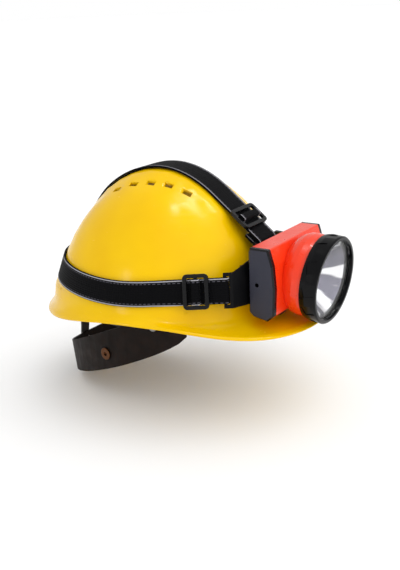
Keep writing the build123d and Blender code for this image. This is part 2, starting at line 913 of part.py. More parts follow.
def make_top_strap():
    frame, length, leave = top_span()
    low = side_level + side_rear_rise - side_width / 2
    foot = math.acos(((low + dome_drop) / dome_height) ** (rise_power / 2))
    outer, inner = [], []
    for i in range(top_steps + 1):
        centre, normal = top_centre(leave + (foot - leave) * i / top_steps)
        normal = frame.z_dir if i == 0 else normal
        outer.append(centre + normal * (webbing / 2))
        inner.append(centre - normal * (webbing / 2))
    outline = [(point.Y, point.Z) for point in outer + inner[::-1]]
    strap = extrude(Plane.YZ * make_face(Polyline(*outline, close=True)), top_width / 2, both=True)
    return strap + strap_span(frame, length, top_width)


def make_slider(width):
    """Three-bar slider lying on the strap's outer face, x along the strap."""
    long_side = width + 2 * slider_margin + 2 * fold_gap
    plate = extrude(RectangleRounded(slider_length, long_side, slider_round), slider_thickness)
    window = (slider_length - 2 * slider_bar - slider_centre_bar) / 2
    for side in (-1, 1):
        x = side * (slider_centre_bar + window) / 2
        plate -= Pos(x, 0, 0) * Box(window, width + 2 * fold_gap, 4 * slider_thickness)
    return fillet(plate.edges().group_by(Axis.Z)[-1], slider_thickness / 5)


def make_fold(width):
    """Webbing that passes up one slot, over the centre bar and down the other slot."""
    half = slider_centre_bar / 2 + fold_gap
    rise = slider_thickness + fold_gap
    high = Vector(half + webbing, width / 2, rise + webbing)
    outer = closed_box(Vector(-half - webbing, -width / 2, 0), high)
    outer = fillet(outer.edges().filter_by(Axis.Y).group_by(Axis.Z)[-1], webbing)
    inner = closed_box(Vector(-half, -width, -overrun), Vector(half, width, rise))
    return outer - inner


def slider_place(frame):
    """Place of a slider on the free run."""
    origin = frame.origin + frame.x_dir * slider_from_slot + frame.z_dir * (webbing / 2 + slider_lift)
    return Plane(origin=origin, x_dir=frame.x_dir, z_dir=frame.z_dir)


def case_outline():
    """Side view of the lamp case in the plane across X, as (y, z)."""
    points = []
    for depth, rise in case_shares:
        points.append((-case_back() - case_depth * depth, case_level + case_height * rise))
    return make_face(Polyline(*points, close=True))


def case_solid(inset, half_length):
    face = case_outline()
    if inset:
        face = offset(face, -inset, kind=Kind.INTERSECTION)
    body = extrude(Plane.YZ * face, half_length, both=True)
    if inset:
        return body
    return fillet(body.edges().filter_by(Axis.X).sort_by(Axis.Y)[:5], case_round)


def head_plane(forward):
    """Frame of the lamp head: z along the beam, x to the wearer's left, y up."""
    tilt = math.radians(head_cant)
    beam = Vector(0, -math.cos(tilt), -math.sin(tilt))
    base = Vector(0, -case_back() - case_depth, case_level)
    return Plane(origin=base + beam * forward, x_dir=(1, 0, 0), z_dir=beam)


def turned(points):
    """Solid of revolution round z from (radius, height) points."""
    return revolve(Plane.XZ * make_face(Polyline(*points, close=True)), Axis.Z)


def make_case():
    inner_half = case_width / 2 - cap_thickness
    outer = case_solid(0, inner_half)
    bulb = [(0, head_profile[0][1])] + list(head_profile) + [(spigot_radius, head_length)]
    bulb += [(spigot_radius, head_length + spigot_length), (0, head_length + spigot_length)]
    bore = [(0, head_bore_profile[0][1])] + list(head_bore_profile)
    bore += [(head_bore, head_length + spigot_length + overrun), (0, head_length + spigot_length + overrun)]
    place = head_plane(0)
    body = outer + place * turned(bulb)
    body -= case_solid(case_wall, inner_half + overrun)
    body -= place * turned(bore)
    body -= back_opening(cover_gap)
    body += case_bosses() & case_solid(0, inner_half)
    window = extrude(SlotOverall(switch_length, switch_width), 2 * overrun)
    body -= switch_frame() * (Pos(0, 0, -overrun) * window)
    centre = hinge_centre()
    body -= Pos(*centre) * Rot(0, 90, 0) * Cylinder(hinge_radius + hinge_gap, hinge_knuckle + 2 * hinge_gap)
    for side in (-1, 1):
        body += Pos(side * (hinge_knuckle + hinge_gap), 0, 0) * case_knuckle()
    return body - hinge_bore(hinge_fit)


def case_bosses():
    """Screw bosses with ribs to the nearest wall of the case."""
    start = -case_back() - cover_thickness - cover_gap
    bosses = []
    for x, z in screw_places():
        boss = Cylinder(boss_radius, screw_length, align=on_base)
        boss -= Cylinder(screw_radius + rivet_fit, 4 * screw_length)
        wall = case_level + math.copysign(case_height / 2, z - case_level)
        bosses.append(Pos(x, start, z) * Rot(90, 0, 0) * boss)
        edge = z + math.copysign(boss_radius / 2 + screw_radius / 2, z - case_level)
        bosses.append(closed_box(Vector(x - boss_rib / 2, start - screw_length, min(edge, wall)),
                                 Vector(x + boss_rib / 2, start, max(edge, wall))))
    return bosses[0] + bosses[1:]


def case_knuckle():
    """Hinge knuckle of the case with the web that joins it to the underside."""
    centre = hinge_centre()
    web = closed_box(Vector(-hinge_knuckle / 2, centre.Y - 2 * hinge_radius, centre.Z - hinge_pin_radius),
                     Vector(hinge_knuckle / 2, centre.Y - hinge_radius / 2, centre.Z + hinge_radius))
    front = Pos(0, -case_back() - case_depth / 2, centre.Z) * Box(overrun * 2, case_depth, overrun)
    return hinge_barrel() + (web & front)


def back_levels():
    """Lower and upper edges of the back cover."""
    return case_level + case_height * case_shares[0][1], case_level + case_height * case_shares[-1][1]


def back_opening(gap):
    low, high = back_levels()
    half = case_width / 2 - cap_thickness
    start = Vector(-half - overrun, -case_back() - cover_thickness - gap, low + case_wall - gap)
    return closed_box(start, Vector(half + overrun, -case_back() + overrun, high - case_wall + gap))


def make_back_cover():
    low, high = back_levels()
    half = case_width / 2 - cap_thickness - cover_gap
    cover = closed_box(Vector(-half, -case_back() - cover_thickness, low + case_wall),
                       Vector(half, -case_back(), high - case_wall))
    for x, z in screw_places():
        bore = Cylinder(screw_radius + rivet_fit, 2 * screw_length)
        cover -= Pos(x, -case_back(), z) * Rot(90, 0, 0) * bore
        cover -= Pos(x, -case_back(), z) * Rot(90, 0, 0) * Cylinder(screw_head_radius, 2 * screw_head)
    return cover


def screw_places():
    return [(x, case_level + z) for x in (-screw_x, screw_x) for z in (-screw_low, screw_high)]


def hinge_centre():
    return Vector(0, -case_back() + hinge_back, case_level - hinge_drop)


def hinge_barrel():
    """One knuckle of the hinge, on the midplane."""
    return Pos(*hinge_centre()) * Rot(0, 90, 0) * Cylinder(hinge_radius, hinge_knuckle)


def hinge_bore(gap):
    centre = hinge_centre()
    return Pos(*centre) * Rot(0, 90, 0) * Cylinder(hinge_pin_radius + gap, 4 * hinge_knuckle)


def make_end_cap():
    """Cap on the wearer's right end of the case."""
    inner = case_width / 2 - cap_thickness
    cap = Pos(-case_width / 2 + cap_thickness / 2, 0, 0) * case_solid(0, cap_thickness / 2)
    outer_edges = cap.faces().sort_by(Axis.X)[0].edges()
    cap = chamfer(outer_edges, cap_bevel)
    plug = offset(case_outline(), -case_wall - cover_thickness - cover_gap, kind=Kind.INTERSECTION)
    return cap + Pos(-inner, 0, 0) * extrude(Plane.YZ * plug, cap_plug)


def socket_axis():
    return -case_back() - socket_depth, case_level + socket_level


def make_right_cap():
    y, z = socket_axis()
    bore = Rot(0, 90, 0) * Cylinder(socket_bore, 4 * cap_thickness)
    return make_end_cap() - Pos(-case_width / 2, y, z) * bore


def make_socket():
    y, z = socket_axis()
    start = -case_width / 2 + cap_thickness + cap_plug + inner_gap
    body = Cylinder(socket_radius, socket_length, align=on_base)
    body -= Cylinder(socket_inner_bore, 2 * (socket_length - cap_plug))
    return Pos(start, y, z) * Rot(0, 90, 0) * body


def make_screws():
    head = Cylinder(screw_head_radius - rivet_fit, screw_head, align=on_base)
    shank = Cylinder(screw_radius, screw_length, align=on_base)
    recess = Box(2 * screw_radius, screw_slot, screw_slot)
    screw = head + shank - recess - Rot(0, 0, 90) * recess
    return Compound([Pos(x, -case_back(), z) * Rot(90, 0, 0) * screw for x, z in screw_places()])


def make_bezel():
    start = head_length + bezel_start_gap
    end = start + bezel_depth
    inside = spigot_radius + bezel_fit
    lens_low = lens_base() - gasket_thickness - lens_gap * 2
    seat = lens_radius + lens_gap
    points = [(inside, start), (bezel_rear_radius, start), (bezel_radius, start + bezel_depth / 3),
              (bezel_radius, end - bezel_round), (bezel_radius - bezel_round, end),
              (lens_opening + bezel_round / 2, end),
              (lens_opening, end - bezel_lip), (seat, end - bezel_lip), (seat, lens_low), (inside, lens_low)]
    ring = turned(points)
    grooves = []
    for i in range(grip_count):
        cutter = Pos(bezel_radius, 0, start + bezel_depth / 2) * Rot(grip_skew, 0, 0) * Box(
            2 * grip_depth, grip_width, bezel_depth * 3 / 5)
        grooves.append(Rot(0, 0, 360 * i / grip_count) * cutter)
    return head_plane(0) * (ring - grooves)


def lens_base():
    """Distance from the case's front to the lens's back face."""
    return head_length + bezel_start_gap + bezel_depth - bezel_lip - lens_gap - lens_thickness


def make_lens():
    return head_plane(lens_base()) * Cylinder(lens_radius, lens_thickness, align=on_base)


def make_gasket():
    hole = Cylinder(lens_radius - gasket_width, 4 * gasket_thickness)
    ring = Cylinder(lens_radius, gasket_thickness) - hole
    ring = fillet(ring.edges(), gasket_thickness / 4)
    return head_plane(lens_base() - lens_gap - gasket_thickness / 2) * ring


def reflector_start():
    return lens_base() - gasket_thickness - 3 * lens_gap - reflector_length


def make_reflector():
    start = reflector_start()
    depth = (reflector_front_radius ** 2 - reflector_back_radius ** 2) / reflector_length
    inner = []
    for i in range(reflector_steps + 1):
        z = reflector_length * (i / reflector_steps) ** 2
        inner.append((math.sqrt(reflector_back_radius ** 2 + depth * z) - reflector_wall, start + z))
    outer = [(radius + reflector_wall, z) for radius, z in reversed(inner)]
    front = start + reflector_length
    flange = [(flange_radius, front), (flange_radius, front - flange_thickness),
              (reflector_front_radius, front - flange_thickness)]
    return head_plane(0) * turned(inner + flange + outer[1:])


def make_heat_sink():
    base = Cylinder(sink_radius, sink_thickness, align=on_base)
    boss = Cylinder(sink_boss_radius, sink_thickness + sink_boss, align=on_base)
    return head_plane(-sink_start) * (base + boss)


def make_led():
    board = Cylinder(led_board_radius, led_board, align=on_base)
    dome = Pos(0, 0, led_board) * Sphere(led_dome_radius)
    dome &= Pos(0, 0, led_board) * Box(overrun, overrun, overrun, align=on_base)
    return head_plane(sink_thickness + sink_boss - sink_start) * (board + dome)


def make_cells():
    y = -case_back() - cover_thickness - inner_gap - cell_radius
    cells = []
    for side in (-1, 1):
        can = Cylinder(cell_radius, cell_length)
        can = chamfer(can.edges(), cell_tip / 2)
        tip = Pos(0, 0, side * (cell_length + cell_tip) / 2) * Cylinder(cell_tip_radius, cell_tip)
        cells.append(Pos(cell_shift, y, case_level + side * cell_rise) * Rot(0, 90, 0) * (can + tip))
    return Compound(cells)


def make_board():
    y = -case_back() - cover_thickness - inner_gap
    low = case_level - board_level
    high = Vector(board_length * 2 / 3, y, low + board_thickness)
    board = closed_box(Vector(-board_length / 3, y - board_width, low), high)
    for i in range(chip_count):
        x = board_length * i / (chip_count + 1)
        chip = Box(chip_length, chip_width, chip_height, align=on_base)
        board += Pos(x, y - board_width / 2, low + board_thickness) * chip
    return board


def bottom_slope():
    """Unit vector along the case's underside, towards the front."""
    first, second = case_shares[1], case_shares[2]
    run = Vector(0, -case_depth * (second[0] - first[0]), case_height * (second[1] - first[1]))
    return run.normalized()


def switch_frame():
    """Frame on the case's underside: z out of the case, x across."""
    first = case_shares[1]
    forward = bottom_slope()
    start = Vector(-switch_x, -case_back() - case_depth * first[0], case_level + case_height * first[1])
    middle = start + forward * (switch_depth - case_depth * first[0])
    return Plane(origin=middle, x_dir=(1, 0, 0), z_dir=Vector(1, 0, 0).cross(-forward) * -1)


def make_switch_boot():
    length, width = switch_length - 2 * switch_fit, switch_width - 2 * switch_fit
    stem = extrude(SlotOverall(length, width), switch_height + case_wall)
    stem = fillet(stem.edges().group_by(Axis.Z)[-1], switch_height / 3)
    for i in range(switch_rib_count):
        x = (i - (switch_rib_count - 1) / 2) * switch_length / (switch_rib_count + 2)
        stem += Pos(x, 0, switch_height + case_wall) * Box(switch_rib * 2, width / 2, switch_rib * 2)
    flange = extrude(SlotOverall(length + 2 * switch_skirt, width + 2 * switch_skirt), -switch_flange)
    return switch_frame() * (Pos(0, 0, -case_wall - inner_gap) * (stem + flange))


def make_switch_body():
    """Tactile switch on a small board that reaches back to the cover."""
    frame = switch_frame()
    top = case_wall + inner_gap + switch_flange + switch_travel + switch_gap
    body = Box(switch_body_length, switch_body_width, switch_body_height, align=under_top)
    centre = frame.origin - frame.z_dir * (top + switch_body_height / 2)
    half = Vector(switch_body_length / 3, 0, board_thickness / 2)
    back = Vector(centre.X, -case_back() - cover_thickness - inner_gap, centre.Z)
    return frame * (Pos(0, 0, -top) * body) + closed_box(centre - half, back + half)


def slot_cut(width):
    """Window beside a strap bar, on the side away from the strap's run."""
    half = width / 2 + 2 * slot_gap
    reach = bar_reach() + webbing + slot_gap
    return closed_box(Vector(-reach, -half, -overrun), Vector(-slot_bar / 2, half, overrun))


def make_arm(root, span, centre, half, width):
    """Arm of the bracket from a root section to a strap bar that matches the strap's run."""
    tip = Plane(origin=centre, x_dir=span.x_dir, z_dir=span.z_dir)
    rim = bar_reach() + webbing + slot_gap + slot_bar
    side, out = -tip.y_dir * half, tip.z_dir * (plate_thickness / 2)
    sections = [root]
    for spot in (tip.origin - tip.x_dir * rim, tip.origin + tip.x_dir * (slot_bar / 2)):
        sections.append([spot - side + out, spot + side + out, spot + side - out, spot - side - out])
    return strip(sections) - tip * slot_cut(width)


def make_bracket():
    face = plate_face()
    back = face + plate_thickness
    plate = closed_box(Vector(-plate_half_width, face, case_level - plate_low),
                       Vector(plate_half_width, back, case_level + plate_high))
    x = plate_thickness - plate_half_width
    low, high = case_level - wing_root_half, case_level + wing_root_half
    root = [Vector(x, face, low), Vector(x, face, high), Vector(x, back, high), Vector(x, back, low)]
    wing = make_arm(root, side_span()[0], bar_centre(), wing_tip_half, side_width)
    x, z = tongue_half_width, case_level + plate_high - plate_thickness
    root = [Vector(-x, face, z), Vector(x, face, z), Vector(x, back, z), Vector(-x, back, z)]
    tongue = make_arm(root, top_span()[0], top_bar(), tongue_half_width, top_width)
    plate = plate + tongue + wing + mirrored(wing)
    centre = hinge_centre()
    swing = Pos(*centre) * Rot(0, 90, 0) * Cylinder(hinge_radius + hinge_gap, 2 * plate_half_width)
    web = closed_box(Vector(-hinge_knuckle / 2, centre.Y, centre.Z),
                     Vector(hinge_knuckle / 2, back, centre.Z + 2 * hinge_radius))
    return (plate - swing) + (hinge_barrel() + web) - hinge_bore(hinge_fit)


def make_hinge_pin():
    centre = hinge_centre()
    length = 3 * hinge_knuckle + 4 * hinge_gap
    shank = Cylinder(hinge_pin_radius, length)
    head = Cylinder(pin_head_radius, pin_head, align=on_base)
    pin = shank + Pos(0, 0, length / 2) * head
    return Pos(*centre) * Rot(0, 90, 0) * pin


def dome_front_y(x, level):
    """Y of the dome's front at this x and level."""
    reach = math.sin(math.acos(((level + dome_drop) / dome_height) ** (rise_power / 2))) ** (2 / rise_power)
    share = 1 - abs(x / (dome_half_width * reach)) ** plan_power
    return -dome_front * reach * share ** (1 / plan_power) - dome_shift


def make_bracket_pad():
    face = plate_face() + plate_thickness
    sections = []
    for i in range(pad_levels + 1):
        level = case_level - pad_low + (pad_low + pad_high) * i / pad_levels
        row = [Vector(-pad_half_width, face, level), Vector(pad_half_width, face, level)]
        for j in range(pad_steps + 1):
            x = pad_half_width * (1 - 2 * j / pad_steps)
            row.append(Vector(x, dome_front_y(x, level) - pad_gap, level))
        sections.append(row)
    return strip(sections)


def put(name, solid):
    parts[name] = solid


put("shell", make_shell())
put("headband", make_headband())
put("sweatband", make_sweatband())
for name, degrees in zip(key_names, key_degrees):
    put("suspension_key_" + name, make_key(degrees))
put("crown_strap_lower", make_crown_strap(0, 2, 0))
put("crown_strap_upper", make_crown_strap(1, 3, cradle_thickness + cradle_cross_gap))
put("crown_pad", make_crown_pad())
put("nape_band", make_nape_band())
put("nape_arm_rivets", make_arm_rivets())
put("nape_eyelets", make_nape_eyelets())
put("nape_upright", make_upright())
put("nape_upright_pin", make_upright_pin())
put("side_strap", make_side_strap())
put("top_strap", make_top_strap())
side_place = slider_place(side_span()[0])
top_place = slider_place(top_span()[0])
put("slider_right", side_place * make_slider(side_width))
put("slider_left", mirrored(parts["slider_right"]))
put("slider_top", top_place * make_slider(top_width))
put("strap_fold_right", side_place * make_fold(side_width))
put("strap_fold_left", mirrored(parts["strap_fold_right"]))
put("strap_fold_top", top_place * make_fold(top_width))
put("lamp_bracket", make_bracket())
put("bracket_pad", make_bracket_pad())
put("hinge_pin", make_hinge_pin())
put("lamp_case", make_case())
put("back_cover", make_back_cover())
put("end_cap_right", make_right_cap())
put("end_cap_left", mirrored(make_end_cap()))
put("cover_screws", make_screws())
put("bezel", make_bezel())
put("lens", make_lens())
put("lens_gasket", make_gasket())
put("reflector", make_reflector())
put("heat_sink", make_heat_sink())
put("led_module", make_led())
put("battery_cells", make_cells())
put("control_board", make_board())
put("charge_socket", make_socket())
put("switch_boot", make_switch_boot())
put("switch_body", make_switch_body())

os.makedirs("parts", exist_ok=True)
for name, solid in parts.items():
    export_step(solid, "parts/" + name + ".step")
    print(name, round(solid.volume), "mm3")
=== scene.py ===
"""Visual model of a miner helmet with a strapped-on headlamp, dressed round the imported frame."""
import json
import math

import bmesh
import bpy
from bpy.props import FloatProperty, FloatVectorProperty, PointerProperty
from mathutils import Matrix, Vector
from mathutils.bvhtree import BVHTree


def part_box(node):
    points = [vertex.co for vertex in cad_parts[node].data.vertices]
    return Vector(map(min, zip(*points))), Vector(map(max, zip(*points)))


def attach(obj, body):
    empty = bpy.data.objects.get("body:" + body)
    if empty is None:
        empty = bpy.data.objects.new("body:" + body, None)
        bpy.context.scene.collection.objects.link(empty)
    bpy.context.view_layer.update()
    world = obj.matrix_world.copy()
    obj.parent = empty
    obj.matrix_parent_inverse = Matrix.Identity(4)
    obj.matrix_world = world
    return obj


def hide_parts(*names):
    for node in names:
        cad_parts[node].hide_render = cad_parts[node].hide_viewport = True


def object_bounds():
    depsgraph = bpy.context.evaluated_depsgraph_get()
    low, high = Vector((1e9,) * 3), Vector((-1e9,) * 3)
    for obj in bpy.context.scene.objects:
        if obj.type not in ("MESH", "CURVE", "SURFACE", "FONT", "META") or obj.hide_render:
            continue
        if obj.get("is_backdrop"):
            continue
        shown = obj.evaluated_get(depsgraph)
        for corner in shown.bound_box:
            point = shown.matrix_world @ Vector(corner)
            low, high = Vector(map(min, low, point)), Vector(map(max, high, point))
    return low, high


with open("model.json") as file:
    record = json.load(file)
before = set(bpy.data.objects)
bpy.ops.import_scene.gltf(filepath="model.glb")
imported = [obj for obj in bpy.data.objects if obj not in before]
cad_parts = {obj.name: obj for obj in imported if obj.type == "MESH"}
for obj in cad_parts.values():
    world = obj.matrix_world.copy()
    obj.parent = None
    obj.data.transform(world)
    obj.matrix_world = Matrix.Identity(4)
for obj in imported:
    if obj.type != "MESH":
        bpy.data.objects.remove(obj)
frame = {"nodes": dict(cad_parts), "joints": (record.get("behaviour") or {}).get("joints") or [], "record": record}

bl_info = {
    "name": "Miner Helmet",
    "version": (1, 0, 0),
    "blender": (4, 5, 0),
    "location": "View3D > Sidebar > Miner Helmet",
    "description": "Shell, webbing, cradle, nape band and headlamp of a miner helmet",
    "category": "Object",
}

BODIES = frame["record"]["behaviour"]["bodies"]
BODY_OF = {node: body for body, nodes in BODIES.items() for node in nodes}

MM = 0.001
# Corners closer than this are one corner, and edges sharper than this stay sharp.
MERGE_DISTANCE = 0.01 * MM
SMOOTH_DEGREES = 40

# Widths of the webbing, and how far round the helmet its nearest edges are looked for.
SIDE_WIDTH = 23.0 * MM
TOP_WIDTH = 30.0 * MM
EDGE_REACH = math.radians(2.5)
# Woven pattern: one dash to the next, the height of the wave that starts a dash, the soft ends
# of the lines, and the distance between picks in rib pitches.
DASH_PITCH = 4.0 * MM
DASH_START = -0.3
LINE_BLUR = 0.2 * MM
PICK_SPACING = 1.4

# Sewn joint: the thread's radius, the distance between stitches in stitch lengths, and the
# height of the sewn box's middle over the webbing's end in box heights.
THREAD_RADIUS = 0.45 * MM
STITCH_SPACING = 1.25
SEWN_RISE = 0.75
# Stitches are dropped on the webbing from this many times as far back as the webbing lies.
DROP_START = 1.2

# Padded pieces: the voxels' size, the easing of their steps, and the cloth's pressure and frames.
VOXEL = 1.5 * MM
EASE_FACTOR = 0.5
EASE_ROUNDS = 6
CLOTH_PRESSURE = 2.0
CLOTH_FRAMES = 20
# How far each padded piece may swell.
CROWN_SWELL = 1.2 * MM
BROW_SWELL = 0.5 * MM

# Typical index of refraction of the moulded plastics.
PLASTIC_IOR = 1.5
# Added roughness where scuffs wear the shell, hands the plastics, and use the bare metals.
SHELL_WEAR = 0.14
PLASTIC_WEAR = 0.16
METAL_WEAR = 0.2
# In millimetres: patches of wear on plastic, and the fine grain of matt plastic and metal.
WEAR_SIZE = 11.0
FINE_GRAIN = 0.8
# End caps: how squarely a face looks sideways where it starts to be flat and where it fully is,
# and the roughness that the grain adds there.
FLAT_START = 0.94
FLAT_END = 0.99
FLAT_GRAIN = 0.2
# The cells' pale band, in millimetres along X, and the size of their film's wrinkles.
BAND_MIDDLE = 22.0
BAND_HALF = 2.0
FILM_WRINKLE = 3.0

# Camera fitted to the photograph, in metres and degrees on the frame's axes. The target pixel
# is where the target shows in the photograph.
CAMERA_TARGET = Vector((0.0, 0.0, 0.022))
CAMERA_DISTANCE = 0.85
CAMERA_TURN = 36.0
CAMERA_HEIGHT = 17.5
CAMERA_ROLL = 3.0
PHOTO_WIDTH = 400
PHOTO_HEIGHT = 570
FOCAL_PIXELS = 850
TARGET_PIXEL = (172.4, 273.3)
SENSOR_WIDTH = 36.0

# The nape band swings this far below its rest, so the floor lies that much lower. The floor's
# edge, in metres from its middle, is out of sight in every view.
NAPE_DROP = 4.5 * MM
FLOOR_RADIUS = 30.0
FLOOR_SIDES = 96

# Broad lights: their places from the lit middle along the camera's aim, right and up, in metres.
LIT_MIDDLE = CAMERA_TARGET + Vector((0.0, 0.0, 0.03))
MAIN_PLACE = (-0.6, 0.9, 1.0)
FRONT_PLACE = (-1.0, 0.6, 0.6)
BROAD_DEGREES = 100
# Glint boxes: place from the lit middle on the frame's axes, width, height, and share of power.
GLINT_BOXES = {
    "shell_glint": ((0.14, -0.3, 0.92), 0.08, 0.6, 2.6),
    "lamp_glint": ((-0.1, -0.1, 0.98), 0.12, 0.16, 1.0),
    "side_glint": ((-0.9, 0.38, 0.23), 0.12, 0.3, 0.6),
}


def linear(code):
    """Linear colour, with full alpha, of an sRGB hex value."""
    values = [int(code[i:i + 2], 16) / 255 for i in (0, 2, 4)]
    steps = [v / 12.92 if v <= 0.04045 else ((v + 0.055) / 1.055) ** 2.4 for v in values]
    return (*steps, 1.0)


def colour(name, description, code):
    """Colour property with an sRGB hex default."""
    return FloatVectorProperty(name=name, description=description, subtype="COLOR", size=4,
                               min=0.0, max=1.0, default=linear(code))


def length(name, description, millimetres):
    """Length property with a default in millimetres."""
    return FloatProperty(name=name, description=description, unit="LENGTH", min=0.0,
                         default=millimetres * MM)


def share(name, description, value):
    """Plain number property between nothing and one."""
    return FloatProperty(name=name, description=description, subtype="FACTOR", min=0.0,
                         max=1.0, default=value)


def strength(name, description, value, unit="NONE"):
    """Strength of a light as a property."""
    return FloatProperty(name=name, description=description, unit=unit, min=0.0, default=value)


class HELMET_PG_shell(bpy.types.PropertyGroup):
    """Moulded shell."""
    lit: colour("Lit yellow", "Colour of the shell where it is brightest", "F2C400")
    deep: colour("Deep yellow", "Colour of the shell's slight cloudy patches", "EAB800")
    polish: share("Roughness", "Roughness of the moulded gloss", 0.16)
    peel: length("Orange peel", "Size of the moulding's faint ripples", 7.0)
    peel_depth: length("Ripple depth", "Depth of the moulding's faint ripples", 0.03)


class HELMET_PG_webbing(bpy.types.PropertyGroup):
    """Elastic webbing of the lamp's harness."""
    cloth: colour("Webbing", "Colour of the elastic webbing", "030305")
    edge: colour("Edge line", "Colour of the thin line along each edge", "A9A8AE")
    dash: colour("Inner line", "Colour of the dashed line inside the edge line", "55545C")
    inset: length("Edge line inset", "From the webbing's edge to the middle of its line", 1.3)
    line: length("Edge line width", "Width of the line along each edge", 0.8)
    second: length("Inner line inset", "From the webbing's edge to the dashed line", 3.0)
    rib: length("Rib pitch", "Distance between the lengthwise ribs", 1.8)
    thread: colour("Thread", "Colour of the thread that joins the webbings", "4A4A50")
    stitch: length("Stitch", "Length of one stitch of the sewn joint", 2.4)
    sewn_width: length("Sewn width", "Width of the sewn box at the back", 22.0)
    sewn_height: length("Sewn height", "Height of the sewn box at the back", 16.0)


class HELMET_PG_cradle(bpy.types.PropertyGroup):
    """Headband, sweatband, crown straps and crown pad."""
    plastic: colour("Headband", "Colour of the moulded headband and keys", "2A2825")
    tape: colour("Crown straps", "Colour of the woven crown straps", "3A3936")
    pad: colour("Padding", "Colour of the sweatband and crown pad", "35353A")
    thread: colour("Lint", "Colour of the lighter lint on the straps and padding", "6A6A6C")


class HELMET_PG_nape(bpy.types.PropertyGroup):
    """Nape band, upright and eyelets."""
    band: colour("Nape band", "Colour of the nape band", "0D0603")
    mottle: colour("Nape mottle", "Lighter patches of the nape band", "1A0D06")
    strut: colour("Upright", "Colour of the upright", "241F1C")
    brass: colour("Eyelet", "Colour of the aged eyelets", "5A3A24")


class HELMET_PG_lamp(bpy.types.PropertyGroup):
    """Headlamp."""
    case: colour("Case", "Colour of the lamp case", "EE3810")
    cap: colour("End caps", "Colour of the end caps' flat faces", "2C2D3A")
    # The rims' near black is painted shade on the caps' chamfered edges.
    rim_shade: colour("End cap rims", "Colour of the end caps' glossy rims", "08070B")
    bezel: colour("Bezel", "Colour of the bezel", "040406")
    silver: colour("Reflector", "Colour of the metallised reflector", "FAFAFC")
    # The reflector's dark streaks are painted reflection in its metal colour.
    streak_and_reflection: colour("Reflector streak", "Darkest streaks of the reflector", "6A6878")
    boot: colour("Switch boot", "Colour of the rubber switch boot", "131316")


class HELMET_PG_stage(bpy.types.PropertyGroup):
    """Floor, light and camera."""
    floor: colour("Floor", "Colour of the plain floor", "FCFCFC")
    sky: strength("Sky", "Strength of the surroundings as light", 0.72)
    sun: strength("Main light", "Strength of the broad main light", 0.9)
    front: strength("Front light", "Strength of the light beside the camera", 1.1)
    glint: strength("Glint boxes", "Power of the boxes that the gloss mirrors", 1.1, "POWER")


def add(tree, kind, inputs=None, **settings):
    """Adds a shader node with its settings and inputs, where a node stands for its output."""
    made = tree.nodes.new("ShaderNode" + kind)
    for key, value in settings.items():
        setattr(made, key, value)
    for key, value in (inputs or {}).items():
        if isinstance(value, bpy.types.Node):
            value = next(socket for socket in value.outputs if socket.enabled)
        if isinstance(value, bpy.types.NodeSocket):
            tree.links.new(value, made.inputs[key])
        else:
            made.inputs[key].default_value = value
    return made


def begin(name):
    """New material with an empty tree."""
    material = bpy.data.materials.new(name)
    material.use_nodes = True
    material.node_tree.nodes.clear()
    return material, material.node_tree


def measured(tree):
    """The object's own coordinates in millimetres."""
    place = add(tree, "TexCoord").outputs["Object"]
    return add(tree, "VectorMath", {0: place, 1: (1 / MM,) * 3}, operation="MULTIPLY")


def surface(tree, height=None, depth=0.0, **shader):
    """Ends a material with its shader, and with a bump of this height pattern and depth in mm."""
    inputs = {name.replace("_", " "): value for name, value in shader.items()}
    if height:
        bump = {"Strength": 1.0, "Distance": depth * MM, "Height": height}
        inputs["Normal"] = add(tree, "Bump", bump)
    add(tree, "OutputMaterial", {"Surface": add(tree, "BsdfPrincipled", inputs)})


def patches(tree, place, size, low, high, detail=2.0, stretch=(1, 1, 1), start=0.3, end=0.7):
    """Soft random patches of this size in millimetres, from a low to a high value."""
    stretched = add(tree, "VectorMath", {0: place, 1: stretch}, operation="MULTIPLY")
    noise = add(tree, "TexNoise", {"Vector": stretched, "Scale": 1 / size, "Detail": detail})
    return add(tree, "MapRange", {"Value": noise, "From Min": start, "From Max": end,
                                  "To Min": low, "To Max": high})


def waves(tree, value, pitch):
    """Smooth wave along a value, this far from crest to crest."""
    turns = add(tree, "Math", {0: value, 1: 2 * math.pi / pitch}, operation="MULTIPLY")
    return add(tree, "Math", {0: turns}, operation="SINE")


def stripe(tree, value, middle, half, soft):
    """One where value lies within half of middle, with soft ends, and nothing elsewhere."""
    offset = add(tree, "Math", {0: value, 1: middle}, operation="SUBTRACT")
    away = add(tree, "Math", {0: offset}, operation="ABSOLUTE")
    return add(tree, "MapRange", {"Value": away, "From Min": half - soft, "From Max": half + soft,
                                  "To Min": 1.0, "To Max": 0.0})


def shell_plastic(sizes):
    # Injection-moulded polyethylene: an even gloss, whose highlights faint orange peel breaks
    # up and fine scuffs of use dull in places, over a yellow that clouds a little.
    material, tree = begin("moulded_polyethylene_yellow")
    place = measured(tree)
    tint = patches(tree, place, size=55.0, low=0.0, high=1.0)
    scuffs = patches(tree, place, size=9.0, low=sizes.polish, high=sizes.polish + SHELL_WEAR,
                     detail=6.0, stretch=(1.0, 1.0, 4.0), start=0.45, end=0.75)
    peel = add(tree, "TexNoise", {"Vector": place, "Scale": MM / sizes.peel, "Detail": 1.0})
    surface(tree, peel, sizes.peel_depth / MM, IOR=PLASTIC_IOR, Specular_IOR_Level=0.18,
            Roughness=scuffs,
            Base_Color=add(tree, "Mix", {0: tint, 6: sizes.deep, 7: sizes.lit}, data_type="RGBA"))
    return material


